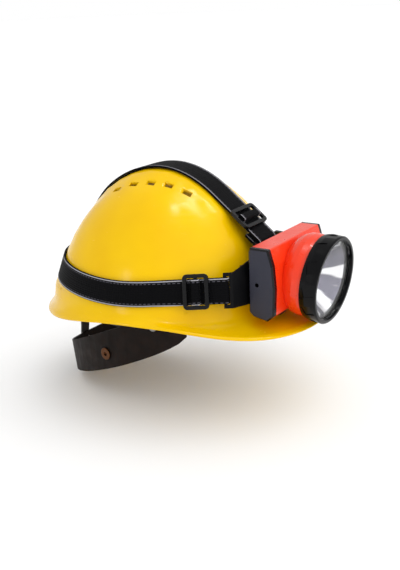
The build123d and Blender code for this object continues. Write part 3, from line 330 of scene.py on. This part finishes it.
def moulded_plastic(name, code, roughness, grain, depth, patch=None, coat=0.0, gloss=0.5):
    """Moulded plastic: a grain of this size and depth in millimetres, polished by handling."""
    material, tree = begin(name)
    place = measured(tree)
    if patch:
        tint = patches(tree, place, size=14.0, low=0.0, high=1.0, detail=4.0)
        code = add(tree, "Mix", {0: tint, 6: code, 7: patch}, data_type="RGBA")
    worn = patches(tree, place, size=WEAR_SIZE, low=roughness, high=roughness + PLASTIC_WEAR,
                   detail=5.0)
    spots = add(tree, "TexNoise", {"Vector": place, "Scale": 1 / grain, "Detail": 3.0})
    surface(tree, spots, depth, Base_Color=code, IOR=PLASTIC_IOR, Specular_IOR_Level=gloss,
            Roughness=worn, Coat_Weight=coat, Coat_Roughness=0.12)
    return material


def rimmed_plastic(sizes):
    # Moulded slate ABS with a fine matt grain on its flat face. Its chamfered rim, picked out by facing,
    # # is painted near black as painted shade, and is left glossier than the face.
    material, tree = begin("satin_abs_grey")
    place = measured(tree)
    facing = add(tree, "SeparateXYZ", {"Vector": add(tree, "TexCoord").outputs["Normal"]})
    sideways = add(tree, "Math", {0: facing.outputs["X"]}, operation="ABSOLUTE")
    flat = add(tree, "MapRange", {"Value": sideways, "From Min": FLAT_START,
                                  "From Max": FLAT_END})
    worn = patches(tree, place, size=WEAR_SIZE, low=0.2, high=0.32, detail=5.0)
    matt = add(tree, "Math", {0: flat, 1: FLAT_GRAIN, 2: worn}, operation="MULTIPLY_ADD")
    spots = add(tree, "TexNoise", {"Vector": place, "Scale": 1 / FINE_GRAIN, "Detail": 3.0})
    surface(tree, spots, 0.02, IOR=PLASTIC_IOR, Specular_IOR_Level=0.3, Roughness=matt,
            Base_Color=add(tree, "Mix", {0: flat, 6: sizes.rim_shade, 7: sizes.cap}, data_type="RGBA"))
    return material


def elastic_webbing(sizes, width):
    # Elastic polyester webbing, woven flat: lengthwise ribs with short picks across them, a
    # silver line woven in along each edge and a dashed grey one inside it. The real ribs are
    # 0.6 mm apart, too fine for the render, so they are drawn three times as coarse.
    material, tree = begin("elastic_webbing_%d" % round(width / MM))
    strip = add(tree, "SeparateXYZ", {"Vector": add(tree, "UVMap", uv_map="webbing")})
    along = strip.outputs["X"]
    across = add(tree, "Math", {0: strip.outputs["Y"]}, operation="ABSOLUTE")
    edge = stripe(tree, across, width / 2 - sizes.inset, sizes.line / 2, LINE_BLUR)
    inner = stripe(tree, across, width / 2 - sizes.second, sizes.line / 3, LINE_BLUR)
    beats = waves(tree, along, DASH_PITCH)
    beats = add(tree, "Math", {0: beats, 1: DASH_START}, operation="GREATER_THAN")
    dashes = add(tree, "Math", {0: inner, 1: beats}, operation="MULTIPLY")
    shade = add(tree, "Mix", {0: dashes, 6: sizes.cloth, 7: sizes.dash}, data_type="RGBA")
    ribs = waves(tree, across, sizes.rib)
    picks = waves(tree, along, sizes.rib * PICK_SPACING)
    weave = add(tree, "Math", {0: picks, 1: 0.5, 2: ribs}, operation="MULTIPLY_ADD")
    surface(tree, weave, 0.12, Roughness=0.7, Specular_IOR_Level=0.08, Sheen_Weight=0.02,
            Sheen_Roughness=0.3,
            Base_Color=add(tree, "Mix", {0: edge, 6: shade, 7: sizes.edge}, data_type="RGBA"))
    return material


def woven_cloth(name, code, lint, pitch):
    """Knitted or woven cloth: crossed threads this far apart, a soft sheen and lighter lint."""
    material, tree = begin(name)
    place = measured(tree)
    parts = add(tree, "SeparateXYZ", {"Vector": place}).outputs
    warp, weft, rise = [waves(tree, parts[axis], pitch) for axis in "XYZ"]
    weave = add(tree, "Math", {0: warp, 1: weft, 2: rise}, operation="MULTIPLY_ADD")
    fluff = patches(tree, place, size=3.0, low=0.0, high=0.5, detail=5.0)
    surface(tree, weave, 0.15, Roughness=0.85, Sheen_Weight=0.35, Sheen_Roughness=0.5,
            Base_Color=add(tree, "Mix", {0: fluff, 6: code, 7: lint}, data_type="RGBA"))
    return material


def drawn_metal(name, code, roughness, stretch):
    """Bare metal with fine marks drawn along one direction."""
    material, tree = begin(name)
    drawn = add(tree, "VectorMath", {0: measured(tree), 1: stretch}, operation="MULTIPLY")
    marks = add(tree, "TexNoise", {"Vector": drawn, "Scale": 1 / FINE_GRAIN, "Detail": 4.0})
    dull = add(tree, "MapRange", {"Value": marks, "From Min": 0.3, "From Max": 0.7,
                                  "To Min": roughness, "To Max": roughness + METAL_WEAR})
    surface(tree, marks, 0.01, Base_Color=code, Metallic=1.0, Roughness=dull)
    return material


def metallised_reflector(sizes):
    # Aluminium vapour on moulded plastic: a near mirror with grey streaks, each about thirty degrees
    # # wide, running out from the emitter. Their grey is painted reflection in the metal colour; the same streaks
    # also vary its roughness and bump.
    material, tree = begin("metallised_reflector")
    low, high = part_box("reflector")
    middle = tuple((low + high) / 2 / MM)
    centred = add(tree, "VectorMath", {0: measured(tree), 1: middle}, operation="SUBTRACT")
    parts = add(tree, "SeparateXYZ", {"Vector": centred}).outputs
    angle = add(tree, "Math", {0: parts["Z"], 1: parts["X"]}, operation="ARCTAN2")
    ring = add(tree, "CombineXYZ", {
        "X": add(tree, "Math", {0: angle}, operation="SINE"),
        "Y": add(tree, "Math", {0: angle}, operation="COSINE"),
        "Z": add(tree, "Math", {0: parts["Y"], 1: 0.01}, operation="MULTIPLY"),
    })
    streak_and_reflection = add(tree, "TexNoise", {"Vector": ring, "Scale": 1.9, "Detail": 2.0, "Roughness": 0.55})
    painted_reflection_mask = add(tree, "MapRange", {"Value": streak_and_reflection, "From Min": 0.47, "From Max": 0.53})
    dull = add(tree, "MapRange", {"Value": streak_and_reflection, "From Min": 0.3, "From Max": 0.7,
                                  "To Min": 0.42, "To Max": 0.3})
    silver = add(tree, "Mix", {0: painted_reflection_mask, 6: sizes.streak_and_reflection, 7: sizes.silver}, data_type="RGBA")
    surface(tree, streak_and_reflection, 0.04, Base_Color=silver, Metallic=1.0, Roughness=dull)
    return material


def clear_polycarbonate():
    # Clear moulded polycarbonate: thin, almost without colour, with a few faint scratches.
    material, tree = begin("clear_polycarbonate")
    scratches = patches(tree, measured(tree), size=1.2, low=0.0, high=0.03, detail=6.0,
                        stretch=(1.0, 1.0, 6.0), start=0.6, end=0.8)
    surface(tree, Base_Color=(1, 1, 1, 1), IOR=1.2, Transmission_Weight=1.0, Roughness=scratches)
    return material


def circuit_board():
    # Glass-fibre board under green solder mask, whose copper runs show through as paler lines.
    material, tree = begin("solder_mask_board")
    runs = add(tree, "TexBrick", {
        "Vector": measured(tree), "Color1": linear("1F5F3A"), "Color2": linear("23683F"),
        "Mortar": linear("3F8A57"), "Scale": 0.3, "Mortar Size": 0.03})
    surface(tree, Base_Color=runs, Roughness=0.35, Coat_Weight=0.4)
    return material


def shrink_film():
    # Shrink film over a steel can: a glossy blue sleeve, a little wrinkled, with a pale band.
    material, tree = begin("cell_shrink_film")
    place = measured(tree)
    along = add(tree, "SeparateXYZ", {"Vector": place}).outputs["X"]
    band = stripe(tree, along, BAND_MIDDLE, BAND_HALF, soft=0.2)
    sleeve = {0: band, 6: linear("2A66B0"), 7: linear("D8DCE2")}
    wrinkles = add(tree, "TexNoise", {"Vector": place, "Scale": 1 / FILM_WRINKLE, "Detail": 2.0})
    surface(tree, wrinkles, 0.02, Roughness=0.3, Coat_Weight=0.5,
            Base_Color=add(tree, "Mix", sleeve, data_type="RGBA"))
    return material


def painted_floor(sizes):
    # Matt white paint: an even tone with a barely uneven, very soft sheen.
    material, tree = begin("matt_white_paint")
    sheen = patches(tree, measured(tree), size=40.0, low=0.8, high=0.9)
    surface(tree, Base_Color=sizes.floor, Roughness=sheen)
    return material


def dress(node, material):
    """Gives a CAD node this material in place of its plain one."""
    for slot in frame["nodes"][node].material_slots:
        slot.material = material


def joined_copy(node):
    """Copy of a CAD node's shape with its loose corners merged."""
    shape = bmesh.new()
    shape.from_mesh(frame["nodes"][node].data)
    bmesh.ops.remove_doubles(shape, verts=shape.verts, dist=MERGE_DISTANCE)
    return shape


def place_piece(shape, name, material, node, stands=True):
    """Makes the shape a piece that rides with a CAD node, and stands for it unless told not to."""
    mesh = bpy.data.meshes.new(name)
    shape.to_mesh(mesh)
    shape.free()
    mesh.shade_smooth()
    mesh.set_sharp_from_angle(angle=math.radians(SMOOTH_DEGREES))
    mesh.materials.append(material)
    piece = bpy.data.objects.new(name, mesh)
    bpy.context.scene.collection.objects.link(piece)
    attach(piece, BODY_OF[node])
    if stands:
        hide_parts(node)
    return piece


def placed(origin, side, up, out):
    """Matrix that puts an object's origin and its own three axes where these say."""
    return Matrix.Translation(origin) @ Matrix((side, up, out)).transposed().to_4x4()


class HELMET_OT_shell(bpy.types.Operator):
    """Make the moulded shell"""
    bl_idname = "helmet.shell"
    bl_label = "Shell"

    def execute(self, context):
        material = shell_plastic(context.scene.helmet_shell)
        place_piece(joined_copy("shell"), "shell_moulding", material, "shell")
        return {"FINISHED"}


def lay_strip(shape, along, across):
    """Writes each corner's place along and across the webbing, in metres."""
    layer = shape.loops.layers.uv.new("webbing")
    for face in shape.faces:
        for loop in face.loops:
            loop[layer].uv = (along(loop.vert), across(loop.vert))


def local_heights(shape):
    """Each corner's height on a band round the helmet, from -0.5 at its lower edge to 0.5."""
    turned = [(math.atan2(vert.co.y, vert.co.x), vert.co.z) for vert in shape.verts]
    heights = []
    for turn, height in turned:
        near = [other for angle, other in turned if abs(angle - turn) < EDGE_REACH]
        heights.append((height - min(near)) / (max(near) - min(near)) - 0.5)
    return heights


class HELMET_OT_side_webbing(bpy.types.Operator):
    """Make the webbing that runs round the shell"""
    bl_idname = "helmet.side_webbing"
    bl_label = "Side webbing"

    def execute(self, context):
        low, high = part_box("side_strap")
        radius = (high.x - low.x) / 2
        shape = joined_copy("side_strap")
        shape.verts.index_update()
        heights = local_heights(shape)
        lay_strip(shape, lambda vert: math.atan2(vert.co.y, vert.co.x) * radius,
                  lambda vert: heights[vert.index] * SIDE_WIDTH)
        webbing = elastic_webbing(context.scene.helmet_webbing, SIDE_WIDTH)
        place_piece(shape, "side_webbing", webbing, "side_strap")
        return {"FINISHED"}


class HELMET_OT_top_webbing(bpy.types.Operator):
    """Make the webbing that runs over the crown"""
    bl_idname = "helmet.top_webbing"
    bl_label = "Top webbing"

    def execute(self, context):
        low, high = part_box("top_strap")
        shape = joined_copy("top_strap")
        lay_strip(shape, lambda vert: math.atan2(vert.co.y, vert.co.z) * high.z,
                  lambda vert: vert.co.x)
        webbing = elastic_webbing(context.scene.helmet_webbing, high.x - low.x)
        place_piece(shape, "top_webbing", webbing, "top_strap")
        return {"FINISHED"}


def sewn_lines(width, height):
    """Corner to corner lines of a sewn box with a cross in it, round its middle."""
    signs = ((-1, -1), (1, -1), (1, 1), (-1, 1))
    corners = [Vector((x * width / 2, 0, z * height / 2)) for x, z in signs]
    pairs = ((0, 1), (1, 2), (2, 3), (3, 0), (0, 2), (1, 3))
    return [(corners[a], corners[b]) for a, b in pairs]


def sewn_on(webbing, spot, run):
    """Place of a stitch on the webbing in front of a spot behind it, turned along its run."""
    place, out, _face, _distance = webbing.ray_cast(spot, Vector((0, -1, 0)))
    run = (run - out * run.dot(out)).normalized()
    return placed(place, run, out.cross(run), out)


class HELMET_OT_rear_stitching(bpy.types.Operator):
    """Sew the top webbing to the side webbing at the back"""
    bl_idname = "helmet.rear_stitching"
    bl_label = "Rear stitching"

    def execute(self, context):
        sizes = context.scene.helmet_webbing
        tail = joined_copy("top_strap")
        webbing = BVHTree.FromBMesh(tail)
        tail.free()
        low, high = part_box("top_strap")
        middle = Vector((0, high.y * DROP_START, low.z + sizes.sewn_height * SEWN_RISE))
        scale = Matrix.Diagonal((sizes.stitch / 2, THREAD_RADIUS, THREAD_RADIUS, 1))
        shape = bmesh.new()
        for start, end in sewn_lines(sizes.sewn_width, sizes.sewn_height):
            count = round((end - start).length / (sizes.stitch * STITCH_SPACING))
            for step in range(count):
                spot = middle + start.lerp(end, (step + 0.5) / count)
                bmesh.ops.create_icosphere(shape, subdivisions=2, radius=1.0,
                                           matrix=sewn_on(webbing, spot, end - start) @ scale)
        # Twisted polyester thread: small grey beads with a soft shine against the black.
        thread = woven_cloth("sewing_thread", sizes.thread, sizes.edge, pitch=0.5)
        place_piece(shape, "rear_stitching", thread, "top_strap", stands=False)
        return {"FINISHED"}


def slide_direction(name):
    """Direction in which a slider of the record slides."""
    return Vector(next(joint["axis"] for joint in frame["joints"] if joint["name"] == name))


def lay_fold(side, across, sizes, width):
    """Webbing that passes over a slider's middle bar."""
    node = "strap_fold_" + side
    along = slide_direction("slide_" + side)
    low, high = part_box(node)
    middle = (low + high) / 2
    shape = joined_copy(node)
    lay_strip(shape, lambda vert: (vert.co - middle).dot(along),
              lambda vert: (vert.co - middle).dot(across))
    place_piece(shape, "webbing_fold_" + side, elastic_webbing(sizes, width), node)


class HELMET_OT_slider_folds(bpy.types.Operator):
    """Make the folds of webbing in the three sliders"""
    bl_idname = "helmet.slider_folds"
    bl_label = "Slider folds"

    def execute(self, context):
        sizes = context.scene.helmet_webbing
        for side, sign in (("right", -1), ("left", 1)):
            across = Vector((sign, 0, 0)).cross(slide_direction("slide_" + side)).normalized()
            lay_fold(side, across, sizes, SIDE_WIDTH)
        lay_fold("top", Vector((1, 0, 0)), sizes, TOP_WIDTH)
        return {"FINISHED"}


class HELMET_OT_sliders(bpy.types.Operator):
    """Finish the three-bar sliders"""
    bl_idname = "helmet.sliders"
    bl_label = "Sliders"

    def execute(self, context):
        # Moulded acetal: smooth and waxy, with soft bright edges on black.
        acetal = moulded_plastic("acetal_slider", linear("050507"), roughness=0.22, grain=0.8,
                                 depth=0.01, gloss=0.3)
        for side in ("right", "left", "top"):
            dress("slider_" + side, acetal)
        return {"FINISHED"}


def apply_modifiers(piece):
    """Puts the modifiers' result into the piece's own mesh."""
    seen = bpy.context.evaluated_depsgraph_get()
    made = bpy.data.meshes.new_from_object(piece.evaluated_get(seen))
    piece.modifiers.clear()
    old = piece.data
    piece.data = made
    bpy.data.meshes.remove(old)


def swell(piece, most):
    """Remeshes a piece and blows it up as cloth, with no point moved further than this."""
    remesh = piece.modifiers.new("remesh", "REMESH")
    remesh.mode = "VOXEL"
    remesh.voxel_size = VOXEL
    ease = piece.modifiers.new("ease", "SMOOTH")
    ease.factor = EASE_FACTOR
    ease.iterations = EASE_ROUNDS
    apply_modifiers(piece)
    rest = [vertex.co.copy() for vertex in piece.data.vertices]
    cloth = piece.modifiers.new("cloth", "CLOTH")
    cloth.settings.use_pressure = True
    cloth.settings.uniform_pressure_force = CLOTH_PRESSURE
    cloth.settings.effector_weights.gravity = 0.0
    scene = bpy.context.scene
    for step in range(1, CLOTH_FRAMES + 1):
        scene.frame_set(step)
    apply_modifiers(piece)
    scene.frame_set(1)
    for vertex, start in zip(piece.data.vertices, rest):
        move = vertex.co - start
        if move.length > most:
            vertex.co = start + move.normalized() * most
    rounding = piece.modifiers.new("rounding", "SUBSURF")
    rounding.levels = 1
    rounding.render_levels = 1


def lay_cushion(node, name, material, most):
    """Padded piece in place of a CAD node, swelled by at most this."""
    piece = place_piece(joined_copy(node), name, material, node)
    swell(piece, most)
    piece.data.shade_smooth()


class HELMET_OT_cradle(bpy.types.Operator):
    """Make the crown straps, crown pad and sweatband"""
    bl_idname = "helmet.cradle"
    bl_label = "Cradle"

    def execute(self, context):
        sizes = context.scene.helmet_cradle
        # Woven polyester tape: a dull dark grey with a visible cross weave.
        tape = woven_cloth("woven_cradle_tape", sizes.tape, sizes.thread, pitch=2.0)
        for layer in ("lower", "upper"):
            node = "crown_strap_" + layer
            place_piece(joined_copy(node), "cradle_tape_" + layer, tape, node)
        # Knitted cover over foam: a soft, fluffy dark grey without gloss.
        cover = woven_cloth("knitted_cover", sizes.pad, sizes.thread, pitch=1.6)
        lay_cushion("crown_pad", "crown_cushion", cover, CROWN_SWELL)
        lay_cushion("sweatband", "brow_cushion", cover, BROW_SWELL)
        return {"FINISHED"}


class HELMET_OT_headband(bpy.types.Operator):
    """Finish the headband and the keys that hold it in the shell"""
    bl_idname = "helmet.headband"
    bl_label = "Headband"

    def execute(self, context):
        # Moulded nylon: a satin, warm near-black with a fine grain.
        nylon = moulded_plastic("nylon_headband", context.scene.helmet_cradle.plastic,
                                roughness=0.42, grain=0.9, depth=0.03)
        dress("headband", nylon)
        for end in ("front", "rear"):
            for side in ("left", "right"):
                dress("suspension_key_%s_%s" % (end, side), nylon)
        return {"FINISHED"}


class HELMET_OT_nape(bpy.types.Operator):
    """Finish the nape band, its upright, rivets and eyelets"""
    bl_idname = "helmet.nape"
    bl_label = "Nape band"

    def execute(self, context):
        sizes = context.scene.helmet_nape
        # Moulded polyethylene, worn by hair and sweat: a leathery, mottled dark brown.
        dress("nape_band", moulded_plastic(
            "polyethylene_nape_band", sizes.band, roughness=0.5, grain=1.6, depth=0.05,
            patch=sizes.mottle, gloss=0.12))
        # Moulded nylon: satin, and a shade greyer than the band.
        dress("nape_upright", moulded_plastic(
            "nylon_upright", sizes.strut, roughness=0.42, grain=1.2, depth=0.04, gloss=0.2))
        # Aged brass: dull brown metal that still catches the light at its roll.
        dress("nape_eyelets", drawn_metal("aged_brass_eyelet", sizes.brass, roughness=0.3,
                                          stretch=(1, 1, 1)))
        # Zinc-plated steel: pale grey, slightly cloudy metal.
        steel = drawn_metal("zinc_plated_rivet", linear("8C8B88"), roughness=0.3, stretch=(1, 1, 6))
        dress("nape_arm_rivets", steel)
        dress("nape_upright_pin", steel)
        return {"FINISHED"}


class HELMET_OT_bracket(bpy.types.Operator):
    """Finish the lamp bracket, its foam pad and the hinge pin"""
    bl_idname = "helmet.bracket"
    bl_label = "Lamp bracket"

    def execute(self, context):
        # Moulded nylon: deep black with little gloss, so that its edges hardly show.
        dress("lamp_bracket", moulded_plastic(
            "nylon_bracket", linear("060608"), roughness=0.4, grain=1.0, depth=0.03, gloss=0.15))
        # Ground steel: bright, with marks round the pin.
        dress("hinge_pin", drawn_metal("bright_steel_pin", linear("A8A8A6"), roughness=0.22,
                                       stretch=(6, 1, 1)))
        # Closed-cell foam: dull black with fine pits.
        foam = moulded_plastic("closed_cell_foam", linear("1A1A1C"), roughness=0.75, grain=0.6,
                               depth=0.15)
        place_piece(joined_copy("bracket_pad"), "bracket_foam", foam, "bracket_pad")
        return {"FINISHED"}


class HELMET_OT_lamp_case(bpy.types.Operator):
    """Finish the lamp case, its end caps, cover and screws"""
    bl_idname = "helmet.lamp_case"
    bl_label = "Lamp case"

    def execute(self, context):
        sizes = context.scene.helmet_lamp
        # Moulded ABS, polished in the mould: warm red with clear but softened reflections.
        dress("lamp_case", moulded_plastic(
            "gloss_abs_red", sizes.case, roughness=0.24, grain=14.0, depth=0.004, coat=0.35,
            gloss=0.3))
        caps = rimmed_plastic(sizes)
        dress("end_cap_right", caps)
        dress("end_cap_left", caps)
        # Moulded ABS with a fine grain: an even satin slate.
        dress("back_cover", moulded_plastic(
            "satin_abs_cover", linear("2B2C34"), roughness=0.4, grain=0.8, depth=0.02))
        # Bright steel: small clear glints on the screw heads.
        dress("cover_screws", drawn_metal("bright_steel_screw", linear("9C9C9A"), roughness=0.25,
                                          stretch=(1, 6, 1)))
        return {"FINISHED"}


class HELMET_OT_lamp_head(bpy.types.Operator):
    """Finish the bezel, lens, reflector and light source"""
    bl_idname = "helmet.lamp_head"
    bl_label = "Lamp head"

    def execute(self, context):
        # Moulded ABS, polished in the mould: deep black with sharp glints on its edges.
        dress("bezel", moulded_plastic(
            "gloss_abs_bezel", context.scene.helmet_lamp.bezel, roughness=0.1, grain=9.0,
            depth=0.01, gloss=0.15))
        dress("lens", clear_polycarbonate())
        # Soft rubber: dull and even, so that it reads as a dark line round the lens.
        dress("lens_gasket", moulded_plastic(
            "soft_gasket", linear("141416"), roughness=0.6, grain=0.6, depth=0.02))
        dress("reflector", metallised_reflector(context.scene.helmet_lamp))
        # Turned aluminium: light grey metal with fine rings.
        dress("heat_sink", drawn_metal("turned_aluminium", linear("BDBFC3"), roughness=0.25,
                                       stretch=(1, 8, 1)))
        # Cast resin over the emitter: pale yellow and wet-looking.
        dress("led_module", moulded_plastic(
            "emitter_resin", linear("EFE6A8"), roughness=0.2, grain=0.5, depth=0.01, coat=0.8))
        return {"FINISHED"}


class HELMET_OT_lamp_inside(bpy.types.Operator):
    """Finish the cells, board, charge socket and switch"""
    bl_idname = "helmet.lamp_inside"
    bl_label = "Lamp inside"

    def execute(self, context):
        dress("battery_cells", shrink_film())
        dress("control_board", circuit_board())
        # Nickel-plated brass: bright metal with faint marks along the barrel.
        dress("charge_socket", drawn_metal("plated_socket", linear("B0B2B5"), roughness=0.25,
                                           stretch=(8, 1, 1)))
        # Moulded phenolic resin: satin, very dark and even.
        dress("switch_body", moulded_plastic(
            "switch_resin", linear("1E1E22"), roughness=0.4, grain=0.5, depth=0.02))
        # Moulded silicone: matt black with a powdery softness.
        dress("switch_boot", moulded_plastic(
            "silicone_boot", context.scene.helmet_lamp.boot, roughness=0.5, grain=0.5, depth=0.03))
        return {"FINISHED"}


def camera_view():
    """The photograph's camera: its right, up and forward directions, and its place."""
    turn = math.radians(CAMERA_TURN)
    height = math.radians(CAMERA_HEIGHT)
    roll = math.radians(CAMERA_ROLL)
    level_ahead = Vector((math.cos(turn), math.sin(turn), 0.0))
    forward = level_ahead * math.cos(height) - Vector((0, 0, math.sin(height)))
    level = forward.cross(Vector((0, 0, 1))).normalized()
    rise = level.cross(forward)
    right = level * math.cos(roll) - rise * math.sin(roll)
    up = level * math.sin(roll) + rise * math.cos(roll)
    # The target lies off the picture's middle, so the camera is aimed that much beside it.
    aim = forward + right * ((PHOTO_WIDTH / 2 - TARGET_PIXEL[0]) / FOCAL_PIXELS)
    aim -= up * ((PHOTO_HEIGHT / 2 - TARGET_PIXEL[1]) / FOCAL_PIXELS)
    aim.normalize()
    right = (right - aim * right.dot(aim)).normalized()
    return right, right.cross(aim), aim, CAMERA_TARGET - forward * CAMERA_DISTANCE


def hang(light, place):
    """Puts a light in the scene, facing the lit middle."""
    holder = bpy.data.objects.new(light.name, light)
    bpy.context.scene.collection.objects.link(holder)
    back = (place - LIT_MIDDLE).normalized()
    side = Vector((0, 0, 1)).cross(back).normalized()
    holder.matrix_world = placed(place, side, back.cross(side), back)
    return holder


def broad_light(name, place, energy):
    """Broad even light, as through a very large scrim that the gloss doesn't mirror."""
    light = bpy.data.lights.new(name, "SUN")
    light.energy = energy
    light.angle = math.radians(BROAD_DEGREES)
    hang(light, place).visible_glossy = False


def glint_box(name, place, width, height, power):
    """Rectangular soft box that only the gloss mirrors."""
    light = bpy.data.lights.new(name, "AREA")
    light.shape = "RECTANGLE"
    light.size = width
    light.size_y = height
    light.energy = power
    hang(light, place).visible_diffuse = False


def lay_floor(scene, sizes):
    """Wide plain floor, as low as the nape band swings."""
    shape = bmesh.new()
    bmesh.ops.create_circle(shape, cap_ends=True, segments=FLOOR_SIDES, radius=FLOOR_RADIUS)
    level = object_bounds()[0][2] - NAPE_DROP
    bmesh.ops.translate(shape, verts=shape.verts, vec=(0, 0, level))
    mesh = bpy.data.meshes.new("floor")
    shape.to_mesh(mesh)
    shape.free()
    mesh.materials.append(painted_floor(sizes))
    floor = bpy.data.objects.new("floor", mesh)
    scene.collection.objects.link(floor)
    floor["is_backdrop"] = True


def surround(scene, sizes):
    """White surroundings: plain white to the camera, and softer as light."""
    scene.world = bpy.data.worlds.new("studio")
    scene.world.use_nodes = True
    tree = scene.world.node_tree
    tree.nodes.clear()
    seen = add(tree, "LightPath").outputs["Is Camera Ray"]
    light = add(tree, "MapRange", {"Value": seen, "To Min": sizes.sky, "To Max": 1.0})
    sky = add(tree, "Background", {"Color": (1, 1, 1, 1), "Strength": light})
    add(tree, "OutputWorld", {"Surface": sky})


def set_camera(scene, right, up, aim, eye):
    """Camera with the photograph's frame and view."""
    lens = bpy.data.cameras.new("photo_camera")
    lens.sensor_fit = "AUTO"
    lens.sensor_width = SENSOR_WIDTH
    lens.lens = SENSOR_WIDTH * FOCAL_PIXELS / PHOTO_HEIGHT
    camera = bpy.data.objects.new("photo_camera", lens)
    scene.collection.objects.link(camera)
    camera.matrix_world = placed(eye, right, up, -aim)
    scene.camera = camera


class HELMET_OT_stage(bpy.types.Operator):
    """Make the floor, the soft lights and the camera"""
    bl_idname = "helmet.stage"
    bl_label = "Stage"

    def execute(self, context):
        scene = context.scene
        sizes = scene.helmet_stage
        lay_floor(scene, sizes)
        surround(scene, sizes)
        right, up, aim, eye = camera_view()
        for name, offset, energy in (("main_light", MAIN_PLACE, sizes.sun),
                                     ("front_light", FRONT_PLACE, sizes.front)):
            ahead, aside, above = offset
            broad_light(name, LIT_MIDDLE + aim * ahead + right * aside + up * above, energy)
        for name, (offset, width, height, part) in GLINT_BOXES.items():
            glint_box(name, LIT_MIDDLE + Vector(offset), width, height, sizes.glint * part)
        set_camera(scene, right, up, aim, eye)
        scene.view_settings.view_transform = "Standard"
        return {"FINISHED"}


class HELMET_PT_panel(bpy.types.Panel):
    """Lists the helmet's pieces and their sizes"""
    bl_idname = "HELMET_PT_panel"
    bl_label = "Miner Helmet"
    bl_space_type = "VIEW_3D"
    bl_region_type = "UI"
    bl_category = "Miner Helmet"

    def draw(self, context):
        for group in GROUPS:
            box = self.layout.box()
            settings = getattr(context.scene, group)
            for name in settings.__annotations__:
                box.prop(settings, name)
        for operator in OPERATORS:
            self.layout.operator(operator.bl_idname)


GROUPS = {
    "helmet_shell": HELMET_PG_shell,
    "helmet_webbing": HELMET_PG_webbing,
    "helmet_cradle": HELMET_PG_cradle,
    "helmet_nape": HELMET_PG_nape,
    "helmet_lamp": HELMET_PG_lamp,
    "helmet_stage": HELMET_PG_stage,
}
OPERATORS = (
    HELMET_OT_shell,
    HELMET_OT_side_webbing,
    HELMET_OT_top_webbing,
    HELMET_OT_rear_stitching,
    HELMET_OT_slider_folds,
    HELMET_OT_sliders,
    HELMET_OT_cradle,
    HELMET_OT_headband,
    HELMET_OT_nape,
    HELMET_OT_bracket,
    HELMET_OT_lamp_case,
    HELMET_OT_lamp_head,
    HELMET_OT_lamp_inside,
    HELMET_OT_stage,
)
CLASSES = (*GROUPS.values(), *OPERATORS, HELMET_PT_panel)


def register():
    """Registers the classes and hangs the settings on the scene."""
    for made in CLASSES:
        bpy.utils.register_class(made)
    for name, group in GROUPS.items():
        setattr(bpy.types.Scene, name, PointerProperty(type=group))


def unregister():
    """Takes the settings and classes away again."""
    for name in GROUPS:
        delattr(bpy.types.Scene, name)
    for made in reversed(CLASSES):
        bpy.utils.unregister_class(made)


def main():
    register()
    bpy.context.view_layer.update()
    for operator in OPERATORS:
        group, name = operator.bl_idname.split(".")
        getattr(getattr(bpy.ops, group), name)()
    bpy.context.view_layer.update()


if __name__ == "__main__":
    main()
